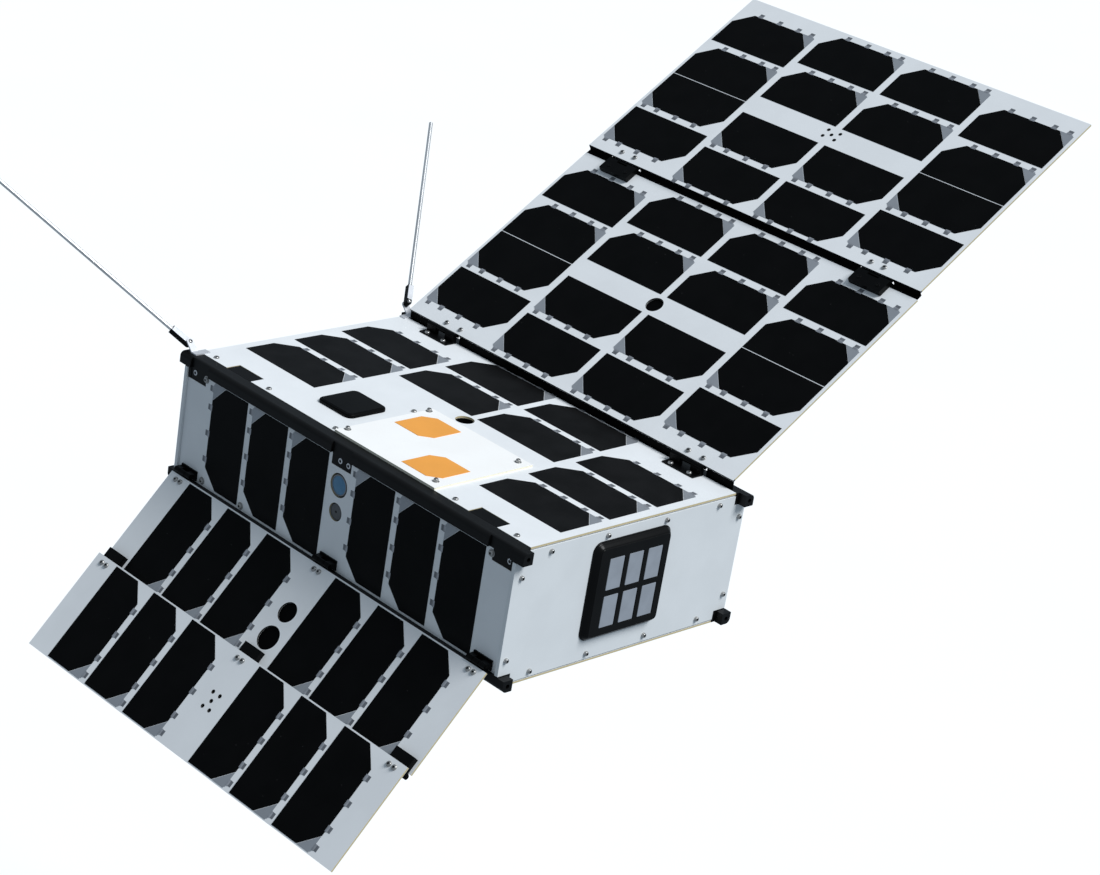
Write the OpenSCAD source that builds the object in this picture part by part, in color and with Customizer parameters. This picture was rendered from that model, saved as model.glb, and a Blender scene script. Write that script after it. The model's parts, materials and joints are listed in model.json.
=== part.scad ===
// Six-unit long-body small satellite with two folding solar wings and two whip antennas.
// X runs along the rails, Y across the flat box, Z up through its two thin sides.
// The origin is the centre of the box.

/* [Body] */
// Length over the rail feet
body_l = 366; // [330:1:440]
// Width over the rails
body_w = 219.6; // [200:0.1:280]
// Height over the rails
body_h = 100; // [96:0.1:125]
// Width of a rail, across the box
rail_w = 11.65; // [10:0.05:16]
// Height of a rail
rail_h = 8.5; // [7.5:0.5:10]
// Radius of a rail's outer corner
rail_r = 3.5; // [1:0.5:4]
// Width of a rail foot, across the box
foot_w = 8.5; // [7:0.5:10]
// How far a rail foot stands out past the end plate
foot_out = 6.5; // [4:0.5:10]
// Radius of the spring bore in a foot
foot_bore_r = 1.6; // [1:0.1:2.4]
// Depth of the spring bore
foot_bore_depth = 10; // [5:1:20]
// Thickness of an end plate
end_plate_t = 3; // [2:0.5:5]
// How far a side board's face sits inside the rails' outer faces
side_inset = 1.85; // [1.5:0.05:3]

/* [Solar cells] */
// Length of a cell's dark face
cell_l = 79.4; // [70:0.05:80.5]
// Width of a cell's dark face
cell_w = 39.4; // [34:0.05:40.5]
// Leg of a cell's clipped corner
cell_clip = 13.5; // [8:0.5:16]
// Thickness of a cell with its cover glass
cell_t = 0.2; // [0.1:0.05:0.4]
// Thickness of every circuit board
board_t = 1.6; // [1:0.1:2.4]
// Gap between neighbouring cells
cell_gap = 5.95; // [4.5:0.05:7]

/* [Upper wing] */
// Length of a panel, along the hinge
upper_l = 342.6; // [340:0.1:344]
// Width of the inner panel, out from the hinge
upper_inner_w = 200.5; // [196:0.5:204]
// Width of the outer panel
upper_outer_w = 200; // [196:0.5:203]
// Angle that the open wing rises above the top face's plane
upper_rise = 33.4; // [15:0.1:60]
// Distance of each hinge from the middle
upper_hinge_x = 130; // [90:1:150]
// Half of the bare strip across the middle columns
upper_strip = 10.3; // [8:0.1:12]

/* [Lower wing] */
// Width of each panel, out from the hinge
lower_w = 81.6; // [80.5:0.1:84]
// Angle that the open wing drops below the bottom face's plane
lower_drop = 48.3; // [25:0.1:70]
// Distance of the two end hinges from the middle
lower_hinge_x = 160; // [120:1:162]
// Half of the bare strip across a lower panel's middle
lower_strip = 18.3; // [15:0.1:19]
// How far the lower wing's outer panel laps over its inner panel's edge
lower_lap = 2.6; // [0:0.1:4]
// How far the lower wing's outer panel stands above its inner panel
lower_raise = 7.3; // [7.2:0.1:9]

/* [Hinges] */
// Radius of a hinge pin
pin_r = 1.2; // [0.8:0.1:1.6]
// Radius of a hinge knuckle
knuckle_r = 2; // [1.8:0.1:2.3]
// Running clearance of a pin in its knuckle
pin_clear = 0.05; // [0.02:0.01:0.1]
// Gap between neighbouring knuckles
knuckle_gap = 0.4; // [0.2:0.1:1]
// Length of an upper wing hinge, along its pin
hinge_l = 30; // [20:1:40]
// Length of a lower wing hinge, along its pin
small_hinge_l = 18; // [14:1:24]
// Distance from a hinge axis to the edge of the board beside it
hinge_edge = 3; // [2.8:0.1:4]
// How far the upper wing's outer panel stands above its inner panel
upper_raise = 4.25; // [3.6:0.05:5.5]
// Thickness of a hinge leaf
leaf_t = 1.2; // [0.8:0.1:1.4]
// Reach of a hinge leaf along its board
leaf_reach = 13; // [9:0.5:16]

/* [Antennas] */
// Length of a whip, from its pivot to its tip
whip_l = 181; // [120:1:185]
// Radius of a whip rod
whip_r = 1.5; // [0.8:0.1:1.8]
// Angle that an open whip leans out to the side
whip_lean = 34.3; // [10:0.1:60]
// Tilt of the whip's pivot axis above the X direction
whip_tilt = 47.2; // [35:0.1:60]
// Length of the block that carries a rod
whip_arm_l = 16; // [14:1:32]

/* [Payload] */
// Width of the window unit's bezel on the end plate
bezel_w = 73.5; // [60:0.5:80]
// Height of the bezel
bezel_h = 73; // [60:1:80]
// How far the bezel stands out
bezel_out = 5; // [2:0.5:8]
// Width of one window
window_w = 14; // [8:0.5:16]
// Height of one window
window_h = 24; // [14:0.5:27]
// Side of the square positioning antenna
puck_w = 36; // [24:1:40]
// Height of the positioning antenna
puck_h = 3; // [1.5:0.1:3.5]

/* [Hidden] */
$fn = 48;

half_l = body_l / 2;
half_w = body_w / 2;
half_h = body_h / 2;
eps = 0.01;
seat = 0.1; // air left beside a board that drops between two rails

// Boards and plates of the box
end_face = half_l - foot_out;
board_half_l = end_face - 0.4;
top_half_w = half_w - rail_w - seat;
side_half_h = half_h - rail_h - seat;
board_rise = 0.2; // the top board's face stands this far above the rails
top_face = half_h + board_rise;
side_face = half_w - side_inset;
ledge = 6; // reach of the rail's flange behind a board
ledge_t = 2;
side_half_l = end_face - end_plate_t - seat;

// Cell grid shared by the top face and the upper wing
column_pitch = cell_l + cell_gap + 0.55;
column_start = -(3 * column_pitch + cell_l) / 2;
row_pitch = cell_w + cell_gap;
joined_gap = 0.8;

// Root hinge of the upper wing
upper_axis_y = half_w - 14.4;
upper_axis_z = top_face + 6.3;
upper_travel = 180 - upper_rise;
// Root hinge of the lower wing
lower_axis_y = -(half_w + 3.85);
lower_axis_z = -(half_h - 13.8);
lower_travel = 90 + lower_drop;

// A wing's own frame: origin on its root axis, Y out along the panel, Z up from the cells
cell_top = -0.5;
board_top = cell_top - cell_t;
board_low = board_top - board_t;
fold_n = board_top - board_t / 2;
block_rise = 4.2; // height of a fold hinge's block above the cells
block_reach = 10.5;
upper_fold_v = 2 * hinge_edge - 0.5 + upper_inner_w;
lower_fold_v = 2 * hinge_edge - 0.5 + lower_w;
fold_edge = hinge_edge - 0.5;
upper_outer_v = upper_fold_v + fold_edge;
lower_outer_v = lower_fold_v - fold_edge - lower_lap;

// Whip pivots
whip_pivot = [-(end_face + 4), half_w - 6.8, top_face + 7.8];
whip_arm_w = 4.6;
whip_arm_t = 4.6;
whip_plate_t = 1;
riser_t = 1;
whip_travel = 90 + whip_lean;

// ---------------------------------------------------------------- shared shapes

// Solar cell outline: straight long edge on Y = 0, two corners clipped on the far edge.
module cell_outline() {
    polygon([[0, 0], [cell_l, 0], [cell_l, cell_w - cell_clip], [cell_l - cell_clip, cell_w],
        [cell_clip, cell_w], [0, cell_w - cell_clip]]);
}

module cell_plate() {
    linear_extrude(cell_t) cell_outline();
}

// Slab of a given outline, with its upper face at z_top.
module slab(z_top, t) {
    translate([0, 0, z_top - t]) linear_extrude(t) children();
}

module rectangle(x0, x1, y0, y1) {
    translate([x0, y0]) square([x1 - x0, y1 - y0]);
}

module box(x0, x1, y0, y1, z0, z1) {
    translate([x0, y0, z0]) cube([x1 - x0, y1 - y0, z1 - z0]);
}

module x_rod(r, len, centre = [0, 0, 0]) {
    translate(centre) rotate([0, 90, 0]) cylinder(r = r, h = len, center = true);
}

// Rectangle with rounded corners, from exact arcs.
module rounded_rectangle(w, h, r) {
    union() {
        square([w, h - 2 * r], center = true);
        square([w - 2 * r, h], center = true);
        for (sx = [-1, 1], sy = [-1, 1])
            translate([sx * (w / 2 - r), sy * (h / 2 - r)]) circle(r);
    }
}

// ---------------------------------------------------------------- rails

// Section of a rail in the +Y, +Z corner: Y to the right, Z up.
module rail_section() {
    intersection() {
        rectangle(half_w - rail_w, half_w, half_h - rail_h, half_h);
        union() {
            rectangle(half_w - rail_w, half_w - rail_r, half_h - rail_h, half_h);
            rectangle(half_w - rail_w, half_w, half_h - rail_h, half_h - rail_r);
            translate([half_w - rail_r, half_h - rail_r]) circle(rail_r);
        }
    }
}

// Flange that backs the thin board on top.
module ledge_section() {
    rectangle(half_w - rail_w - ledge, half_w - rail_w + eps,
        top_face - board_t - ledge_t - seat, top_face - board_t - seat);
}

// Flange that backs the side board.
module side_ledge_section() {
    rectangle(side_face - cell_t - board_t - ledge_t - seat, side_face - cell_t - board_t - seat,
        half_h - rail_h - ledge, half_h - rail_h + eps);
}

module rail_corner() {
    difference() {
        union() {
            translate([-half_l, 0, 0]) along_x(body_l) rail_section();
            translate([-end_face + end_plate_t + seat, 0, 0])
                along_x(2 * (end_face - end_plate_t - seat)) {
                    ledge_section();
                    side_ledge_section();
                }
        }
        foot_bores();
        foot_cuts();
    }
}

// Extrudes a Y-Z section towards +X.
module along_x(len) {
    rotate([90, 0, 90]) linear_extrude(len) children();
}

foot_bore_y = half_w - foot_w / 2;
foot_bore_z = half_h - rail_h / 2;
module foot_bores() {
    for (s = [-1, 1])
        translate([s * half_l, foot_bore_y, foot_bore_z]) rotate([0, 90, 0])
            cylinder(r = foot_bore_r, h = 2 * foot_bore_depth, center = true);
}

// Past the end plates a rail narrows to its square foot.
module foot_cuts() {
    for (s = [0, 1]) mirror([s, 0, 0])
        box(end_face, half_l + 1, half_w - rail_w - 1, half_w - foot_w,
            half_h - rail_h - 1, half_h + 1);
}

// Tabs below the upper near rail fill the notches in the side board.
tab_w = 20;
tab_h = 8;
tab_x = [-(side_half_l - tab_w / 2), 0, side_half_l - tab_w / 2];
notch_clear = 0.3;
module near_rail_tabs() {
    for (x = tab_x)
        box(x - tab_w / 2, x + tab_w / 2, -side_face + cell_t - 0.6, -side_face + board_t + 2 * seat,
            half_h - rail_h - tab_h, half_h - rail_h + eps);
}

// Pockets where the folded lower wing's hinge blocks nest in the rail.
pocket_clear = 1;
pocket_depth = half_w + lower_axis_y + block_rise - cell_top + pocket_clear;
module near_rail_pockets() {
    for (x = [-lower_hinge_x, 0, lower_hinge_x])
        box(x - small_hinge_l / 2 - 1.5, x + small_hinge_l / 2 + 1.5, -half_w - 1,
            -half_w + pocket_depth, half_h - rail_h - tab_h - 1, half_h + 1);
}

module rail_top_near() {
    color("#101012") difference() {
        union() {
            mirror([0, 1, 0]) rail_corner();
            near_rail_tabs();
        }
        near_rail_pockets();
    }
}

module rail_top_far() { color("#101012") rail_corner(); }
module rail_bottom_near() { color("#101012") mirror([0, 1, 0]) mirror([0, 0, 1]) rail_corner(); }
module rail_bottom_far() { color("#101012") mirror([0, 0, 1]) rail_corner(); }

// ---------------------------------------------------------------- box skin

// End plate: reaches between the rails both ways, so its four corners are cut out.
module end_plate_outline() {
    union() {
        square([2 * (half_w - 0.2), 2 * (side_half_h - 0.4)], center = true);
        square([2 * top_half_w, 2 * (half_h - 2.4)], center = true);
    }
}

module end_plate() {
    rotate([90, 0, 90]) linear_extrude(end_plate_t) end_plate_outline();
}

module front_end_plate() {
    color("#e8ebf2") translate([end_face - end_plate_t, 0, 0]) end_plate();
}

module rear_end_plate() {
    color("#e8ebf2") translate([-end_face, 0, 0]) end_plate();
}

release_x = 0;
release_y = 3;
release_r = 7;
top_notch_w = 28;
top_notch_d = 12;
module top_board() {
    color("#eef1f7") slab(top_face, board_t) difference() {
        square([2 * board_half_l, 2 * top_half_w], center = true);
        for (s = [-1, 1])
            rectangle(s * upper_hinge_x - top_notch_w / 2, s * upper_hinge_x + top_notch_w / 2,
                -top_half_w - 1, -top_half_w + top_notch_d);
        translate([release_x, release_y]) circle(release_r);
    }
}

module bottom_board() {
    color("#eef1f7") slab(-top_face + board_t, board_t)
        square([2 * board_half_l, 2 * top_half_w], center = true);
}

// Outline of a side board in its own X-Z plane, Z up the page.
module side_board_outline() {
    square([2 * side_half_l, 2 * side_half_h], center = true);
}

sensor_x = 0;
sun_z = 20.5;
sun_r = 8.8;
eye_z = 0.5;
eye_r = 6.6;
module near_side_board() {
    color("#aab0b8") translate([0, -side_face + cell_t, 0]) rotate([90, 0, 0])
        translate([0, 0, -board_t]) linear_extrude(board_t) difference() {
            side_board_outline();
            for (x = tab_x)
                rectangle(x - tab_w / 2 - notch_clear, x + tab_w / 2 + notch_clear,
                    side_half_h - tab_h - notch_clear, side_half_h + 1);
            translate([sensor_x, sun_z]) circle(sun_r);
            translate([sensor_x, eye_z]) circle(eye_r);
        }
}

module far_side_board() {
    color("#aab0b8") translate([0, side_face - cell_t, 0]) rotate([90, 0, 0])
        linear_extrude(board_t) side_board_outline();
}

// ---------------------------------------------------------------- cells on the box

// Distances of the top cells' straight edges across the box, by column
top_rows = [[-61.8, -61.8 + row_pitch, -61.8 + 2 * row_pitch], [12.4, 12.4 + row_pitch],
    [12, 12 + row_pitch], [-64, -64 + row_pitch, -64 + 2 * row_pitch]];
module top_cells() {
    color("#0b0b0d") for (i = [0:3]) for (y = top_rows[i])
        translate([column_start + i * column_pitch, y, top_face]) cell_plate();
}

side_strip = 15;
side_shift = 1.6;
// Cells that stand on a side face: X position of each cell's clipped edge.
side_cell_x = [for (i = [2:-1:0]) -side_strip - cell_w - i * row_pitch,
    for (i = [0:2]) side_strip + i * row_pitch];
module side_cells() {
    for (x = side_cell_x)
        translate([x + cell_w + side_shift, 0, -cell_l / 2 + 0.2]) rotate([0, -90, 0])
            rotate([90, 0, 0]) cell_plate();
}

module near_side_cells() {
    color("#0b0b0d") translate([0, -side_face + cell_t, 0]) side_cells();
}

module far_side_cells() {
    color("#0b0b0d") translate([0, side_face, 0]) side_cells();
}

// ---------------------------------------------------------------- top equipment

patch_x = [-22, 82];
patch_y = [-top_half_w, -8];
patch_w = 33;
patch_clip = 8;
patch_centres = [[2, -34], [56, -74]];
module patch_board() {
    color("#f4f5f2") slab(top_face + board_t, board_t)
        rectangle(patch_x[0], patch_x[1], patch_y[0], patch_y[1]);
}

// Square patch with two opposite corners clipped.
module patch_outline() {
    h = patch_w / 2;
    polygon([[-h, -h], [h - patch_clip, -h], [h, -h + patch_clip], [h, h], [-h + patch_clip, h],
        [-h, h - patch_clip]]);
}

patch_t = 0.3;
module patch_elements() {
    color("#e9a95a") for (c = patch_centres)
        translate([c[0], c[1], top_face + board_t]) linear_extrude(patch_t) patch_outline();
}

puck_centre = [-52, -57.5];
module positioning_antenna() {
    color("#161617") translate([puck_centre[0], puck_centre[1], top_face])
        linear_extrude(puck_h) rounded_rectangle(puck_w, puck_w, 5);
}

cup_depth = 5;
module release_cup() {
    color("#c9ccd2") translate([release_x, release_y, top_face - board_t - cup_depth - 0.1])
        difference() {
            cylinder(r = release_r + 2, h = cup_depth);
            translate([0, 0, 1.5]) cylinder(r = release_r - 0.5, h = cup_depth);
        }
}

// ---------------------------------------------------------------- window unit

bezel_centre = [-1.7, 3.8];
bezel_r = 5;
window_pitch_y = 18.3;
window_pitch_z = 28;
window_centre = [0, 2.5];
window_floor = 1;
module window_outline(less = 0) {
    for (i = [-1:1], j = [-1, 1])
        translate([window_centre[0] + i * window_pitch_y, window_centre[1] + j * window_pitch_z / 2])
            square([window_w - less, window_h - less], center = true);
}

module window_bezel() {
    color("#151517") translate([end_face, 0, 0]) difference() {
        along_x(bezel_out) translate(bezel_centre) rounded_rectangle(bezel_w, bezel_h, bezel_r);
        translate([window_floor, 0, 0]) along_x(bezel_out) window_outline();
    }
}

pane_t = 1.5;
module window_panes() {
    color("#6f7784") translate([end_face + window_floor, 0, 0])
        along_x(pane_t) window_outline(seat);
}

// ---------------------------------------------------------------- side sensors

sensor_back = 6;
module side_sensor(r, z, lens_r, lens_depth) {
    translate([sensor_x, -side_face + cell_t + 0.2, z]) rotate([-90, 0, 0]) difference() {
        cylinder(r = r - 0.2, h = sensor_back);
        translate([0, 0, -1]) cylinder(r = lens_r, h = lens_depth + 1);
    }
}

module sun_sensor() { color("#2d5f86") side_sensor(sun_r, sun_z, 7.4, 0.8); }
module star_eye() { color("#55585e") side_sensor(eye_r, eye_z, 1.2, 1.5); }

// ---------------------------------------------------------------- equipment

block_clear = 0.3;
module equipment_block() {
    color("#5b5f66") box(-half_l + 40, half_l - 40, -half_w + 27, half_w - 27,
        -top_face + board_t + block_clear, half_h - 16);
}

// ---------------------------------------------------------------- hinges

// Side knuckles of a hinge, with the pin through them; the axis is the local X axis.
module outer_knuckles(len) {
    third = third_of(len);
    for (s = [-1, 1])
        x_rod(knuckle_r, third, [s * (third + knuckle_gap), 0, 0]);
    x_rod(pin_r, len + 1);
}

// Length of one knuckle, in whole tenths, and the length of all three with their gaps.
function third_of(len) = round((len - 2 * knuckle_gap) / 0.3) / 10;
function span_of(len) = 3 * third_of(len) + 2 * knuckle_gap;
ear_half = knuckle_r - 0.2;

// Two ears from a leaf at -stand up to the axis, with the knuckles and the pin.
module ears(len, stand) {
    third = third_of(len);
    union() {
        for (s = [-1, 1])
            translate([s * (third + knuckle_gap), 0, 0])
                box(-third / 2, third / 2, -ear_half, ear_half, -stand, 0);
        outer_knuckles(len);
    }
}

// Bracket on the box: a leaf on its face and the ears up to the axis.
// Local frame: origin on the axis, Z away from the face, Y towards the panel.
module root_bracket(len, stand, back, front) {
    half = span_of(len) / 2;
    union() {
        box(-half, half, -back, front, -stand, -stand + leaf_t);
        ears(len, stand);
    }
}

module upper_root_brackets() {
    color("#141416") for (s = [-1, 1])
        translate([s * upper_hinge_x, upper_axis_y, upper_axis_z])
            root_bracket(hinge_l, upper_axis_z - top_face, 9, knuckle_r);
}

lower_stand = -lower_axis_y - side_face + cell_t;
module lower_root_brackets() {
    color("#141416") for (x = [-lower_hinge_x, 0, lower_hinge_x])
        translate([x, lower_axis_y, lower_axis_z]) rotate([90, 0, 0]) mirror([0, 1, 0])
            root_bracket(small_hinge_l, lower_stand, 3.2, 4.2);
}

leaf_start = 1.8; // clears the bracket's ears at rest
ear_clear = 0.3;
// Leaf and middle knuckle on a panel; the leaf lies against the back of the board.
// low is the board's lower face in the axis's own frame.
module panel_leaf(len, low) {
    third = third_of(len);
    half = span_of(len) / 2;
    difference() {
        union() {
            x_rod(knuckle_r, third);
            box(-third / 2, third / 2, 0, hinge_edge - 0.5, low - leaf_t, 0);
            box(-half, half, leaf_start, leaf_reach, low - leaf_t, low);
        }
        x_rod(pin_r + pin_clear, len * 2);
        for (s = [-1, 1])
            x_rod(knuckle_r + 0.3, third + 2 * knuckle_gap, [s * (third + knuckle_gap), 0, 0]);
    }
}

// ---------------------------------------------------------------- wing boards

five_hole_r = 1.6;
five_long = 5.9;
five_short = 3.7;
module five_holes(along, across) {
    circle(five_hole_r);
    for (sx = [-1, 1], sy = [-1, 1]) translate([sx * along, sy * across]) circle(five_hole_r);
}

// Cells of an upper panel; v0 is the panel's inner edge and w its width.
module upper_panel_cells(v0, w, z) {
    middle = v0 + w / 2;
    for (i = [0:3], side = [-1, 1], k = [0, 1]) {
        start = (i == 0 || i == 3) ? joined_gap / 2 : upper_strip;
        translate([column_start + i * column_pitch, middle, z]) mirror([0, side < 0 ? 1 : 0, 0])
            translate([0, start + k * row_pitch, 0]) cell_plate();
    }
}

module upper_place() {
    translate([0, upper_axis_y, upper_axis_z]) rotate([upper_rise, 0, 0]) children();
}

module lower_place() {
    translate([0, lower_axis_y, lower_axis_z]) rotate([lower_drop, 0, 0]) rotate([0, 0, 180])
        children();
}

wing_hole_r = 7;
module upper_inner_board() {
    color("#dfe4ec") upper_place() slab(board_top, board_t) difference() {
        rectangle(-upper_l / 2, upper_l / 2, hinge_edge, hinge_edge + upper_inner_w);
        translate([0, hinge_edge + upper_inner_w / 2]) circle(wing_hole_r);
    }
}

module upper_inner_cells() {
    color("#0b0b0d") upper_place() upper_panel_cells(hinge_edge, upper_inner_w, board_top);
}

module upper_root_leaves() {
    color("#141416") upper_place() for (s = [-1, 1])
        translate([s * upper_hinge_x, 0, 0]) panel_leaf(hinge_l, board_low);
}

// Block on the inner panel's cell side, with two ears down to the fold axis and the pin.
module fold_block(len) {
    third = third_of(len);
    half = span_of(len) / 2;
    top = block_rise + cell_top - fold_n;
    union() {
        box(-half, half, -fold_edge - block_reach, -fold_edge, board_top - fold_n, top);
        for (s = [-1, 1])
            translate([s * (third + knuckle_gap), 0, 0])
                box(-third / 2, third / 2, -fold_edge + seat - 0.2, 0, 0, top);
        outer_knuckles(len);
    }
}

// The ears pass outside the board's edge, so they start just clear of it.
module fold_block_trimmed(len) {
    difference() {
        fold_block(len);
        box(-len, len, -fold_edge - block_reach - 1, -fold_edge + seat, -10, board_top - fold_n);
    }
}

module upper_fold_blocks() {
    color("#141416") upper_place() for (s = [-1, 1])
        translate([s * upper_hinge_x, upper_fold_v, fold_n]) fold_block_trimmed(hinge_l);
}

upper_outer_top = board_top + upper_raise;
module upper_outer_board() {
    color("#dfe4ec") upper_place() slab(upper_outer_top, board_t) difference() {
        rectangle(-upper_l / 2, upper_l / 2, upper_outer_v, upper_outer_v + upper_outer_w);
        translate([0, upper_outer_v + upper_outer_w / 2]) five_holes(five_long, five_short);
    }
}

outer_cells_shift = -1.5;
module upper_outer_cells() {
    color("#0b0b0d") upper_place()
        upper_panel_cells(upper_outer_v + outer_cells_shift, upper_outer_w, upper_outer_top);
}

// Leaf of a fold hinge under the outer board, whose inner edge lies at start and back at low.
module fold_leaf(len, start, low) {
    third = third_of(len);
    half = span_of(len) / 2;
    difference() {
        union() {
            x_rod(knuckle_r, third);
            box(-third / 2, third / 2, 0, ear_half, 0, low - leaf_t);
            box(-third / 2, third / 2, 0, leaf_start, low - leaf_t, low);
            box(-half, half, start, leaf_reach, low - leaf_t, low);
        }
        x_rod(pin_r + pin_clear, len * 2);
    }
}

module upper_fold_leaves() {
    color("#141416") upper_place() for (s = [-1, 1])
        translate([s * upper_hinge_x, upper_fold_v, fold_n])
                fold_leaf(hinge_l, ear_clear, upper_outer_top - board_t - fold_n);
}

// ---------------------------------------------------------------- lower wing

// Cells of a lower panel: they run across it, clipped on the side that faces +X of the box.
lower_margin = (lower_w - cell_l) / 2;
lower_cell_x = [for (i = [2:-1:0]) -lower_strip - cell_w - i * row_pitch,
    for (i = [0:2]) lower_strip + i * row_pitch];
module lower_panel_cells(v0, z) {
    for (x = lower_cell_x)
        translate([x + cell_w, v0 + lower_margin, z]) rotate([0, 0, 90]) cell_plate();
}

hole_x = 2;
big_hole_r = 9.2;
small_hole_r = 7.8;
big_hole_v = 60.5;
small_hole_v = 39;
module lower_inner_board() {
    color("#aeb4be") lower_place() slab(board_top, board_t) difference() {
        rectangle(-upper_l / 2, upper_l / 2, hinge_edge, hinge_edge + lower_w);
        translate([-hole_x, hinge_edge + big_hole_v]) circle(big_hole_r);
        translate([-hole_x, hinge_edge + small_hole_v]) circle(small_hole_r);
    }
}

module lower_inner_cells() {
    color("#0b0b0d") lower_place() lower_panel_cells(hinge_edge, board_top);
}

module lower_root_leaves() {
    color("#141416") lower_place() for (x = [-lower_hinge_x, 0, lower_hinge_x])
        translate([x, 0, 0]) panel_leaf(small_hinge_l, board_low);
}

module lower_fold_blocks() {
    color("#141416") lower_place() for (x = [-lower_hinge_x, 0, lower_hinge_x])
        translate([x, lower_fold_v, fold_n]) fold_block_trimmed(small_hinge_l);
}

lower_outer_top = board_top + lower_raise;
module lower_outer_board() {
    color("#aeb4be") lower_place() slab(lower_outer_top, board_t) difference() {
        rectangle(-upper_l / 2, upper_l / 2, lower_outer_v, lower_outer_v + lower_w);
        translate([-hole_x, lower_outer_v + small_hole_v]) five_holes(five_short, five_long);
    }
}

module lower_outer_cells() {
    color("#0b0b0d") lower_place() lower_panel_cells(lower_outer_v, lower_outer_top);
}

module lower_fold_leaves() {
    color("#141416") lower_place() for (x = [-lower_hinge_x, 0, lower_hinge_x])
        translate([x, lower_fold_v, fold_n])
            fold_leaf(small_hinge_l, ear_clear, lower_outer_top - board_t - fold_n);
}

// ---------------------------------------------------------------- whips

// Frame of a whip pivot: local Z is the pivot axis, local Y points across the box, outwards
// for the far whip; local X then points up and out over the rear end.
module whip_frame() {
    translate(whip_pivot) rotate([0, 90 - whip_tilt, 0]) rotate([0, 0, 180]) mirror([0, 1, 0])
        children();
}

module near_side() { mirror([0, 1, 0]) children(); }

riser_z = -2.6;
riser_r = whip_arm_w / 2 + 0.5;
riser_drop = 14;
arm_gap = 0.2; // between an arm and its riser
arm_far_z = riser_z + riser_t + arm_gap;
arm_near_z = riser_z - arm_gap - whip_arm_t;
foot_pad_l = 6;
foot_pad_w = 5;
// Riser across the pivot axis with the pin through it, cut off level with the top face.
module whip_riser(pin_from, pin_to) {
    intersection() {
        whip_frame() union() {
            translate([0, 0, riser_z]) linear_extrude(riser_t) union() {
                circle(riser_r);
                rectangle(-riser_drop, 0, -riser_r, riser_r);
            }
            translate([0, 0, pin_from]) cylinder(r = pin_r, h = pin_to - pin_from);
        }
        box(-half_l - 60, -end_face + 12, 0, half_w + 60, top_face, top_face + 80);
    }
}

// Pad that ties a riser to the board's corner.
module whip_pad() {
    box(-board_half_l, -board_half_l + foot_pad_l, top_half_w - foot_pad_w,
        whip_pivot[1] + riser_r, top_face, top_face + riser_t);
}

module far_whip_bracket() {
    color("#d7dae0") union() {
        whip_riser(riser_z, arm_far_z + whip_arm_t + riser_t);
        whip_pad();
    }
}

module near_whip_bracket() {
    color("#d7dae0") near_side() union() {
        whip_riser(arm_near_z - riser_t, riser_z + riser_t);
        whip_pad();
    }
}

rod_seat = 8;
module whip_arm(z0) {
    difference() {
        translate([0, 0, z0]) linear_extrude(whip_arm_t) union() {
            circle(whip_arm_w / 2);
            rectangle(0, whip_arm_l, -whip_arm_w / 2, whip_arm_w / 2);
        }
        translate([0, 0, z0 - 1]) cylinder(r = pin_r + pin_clear, h = whip_arm_t + 2);
        translate([whip_arm_l - rod_seat, 0, z0 + whip_arm_t / 2]) rotate([0, 90, 0])
            cylinder(r = whip_r, h = rod_seat + 1);
    }
}
module whip_rod(z0) {
    translate([whip_arm_l - rod_seat, 0, z0 + whip_arm_t / 2]) rotate([0, 90, 0])
        cylinder(r = whip_r, h = whip_l - whip_arm_l + rod_seat);
}

module far_whip_arm() {
    color("#1a1a1d") whip_frame() rotate([0, 0, whip_lean]) whip_arm(arm_far_z);
}
module far_whip_rod() {
    color("#cfd2d6") whip_frame() rotate([0, 0, whip_lean]) whip_rod(arm_far_z);
}
module near_whip_arm() {
    color("#1a1a1d") near_side() whip_frame() rotate([0, 0, whip_lean]) whip_arm(arm_near_z);
}
module near_whip_rod() {
    color("#cfd2d6") near_side() whip_frame() rotate([0, 0, whip_lean]) whip_rod(arm_near_z);
}

cradle_w = 5;
module whip_cradle() {
    color("#eceef2") box(-end_face - 2, -end_face, -cradle_w / 2, cradle_w / 2, half_h - 8, half_h - 1);
}

rail_top_near();
rail_top_far();
rail_bottom_near();
rail_bottom_far();
front_end_plate();
rear_end_plate();
top_board();
near_side_board();
far_side_board();
bottom_board();
top_cells();
near_side_cells();
far_side_cells();
patch_board();
patch_elements();
positioning_antenna();
window_bezel();
window_panes();
release_cup();
sun_sensor();
star_eye();
upper_root_brackets();
lower_root_brackets();
near_whip_bracket();
far_whip_bracket();
whip_cradle();
equipment_block();
upper_inner_board();
upper_inner_cells();
upper_root_leaves();
upper_fold_blocks();
upper_outer_board();
upper_outer_cells();
upper_fold_leaves();
lower_inner_board();
lower_inner_cells();
lower_root_leaves();
lower_fold_blocks();
lower_outer_board();
lower_outer_cells();
lower_fold_leaves();
near_whip_arm();
near_whip_rod();
far_whip_arm();
far_whip_rod();
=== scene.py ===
"""Builds the looks of a six-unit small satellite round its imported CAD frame.

The CAD boards, rails, hinges and cells stay and get finishes. Everything small that a maker fits
to them afterwards, such as screws, interconnect tabs, bypass diodes, the window unit's bezel and
the lens rings, is a new mesh that is worked out with numpy. All sizes are in metres.
"""

import json
import logging
import math
from dataclasses import dataclass, field
from enum import Enum
from typing import Any, Iterable, Sequence

import bpy
import numpy as np
from mathutils import Matrix

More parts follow.
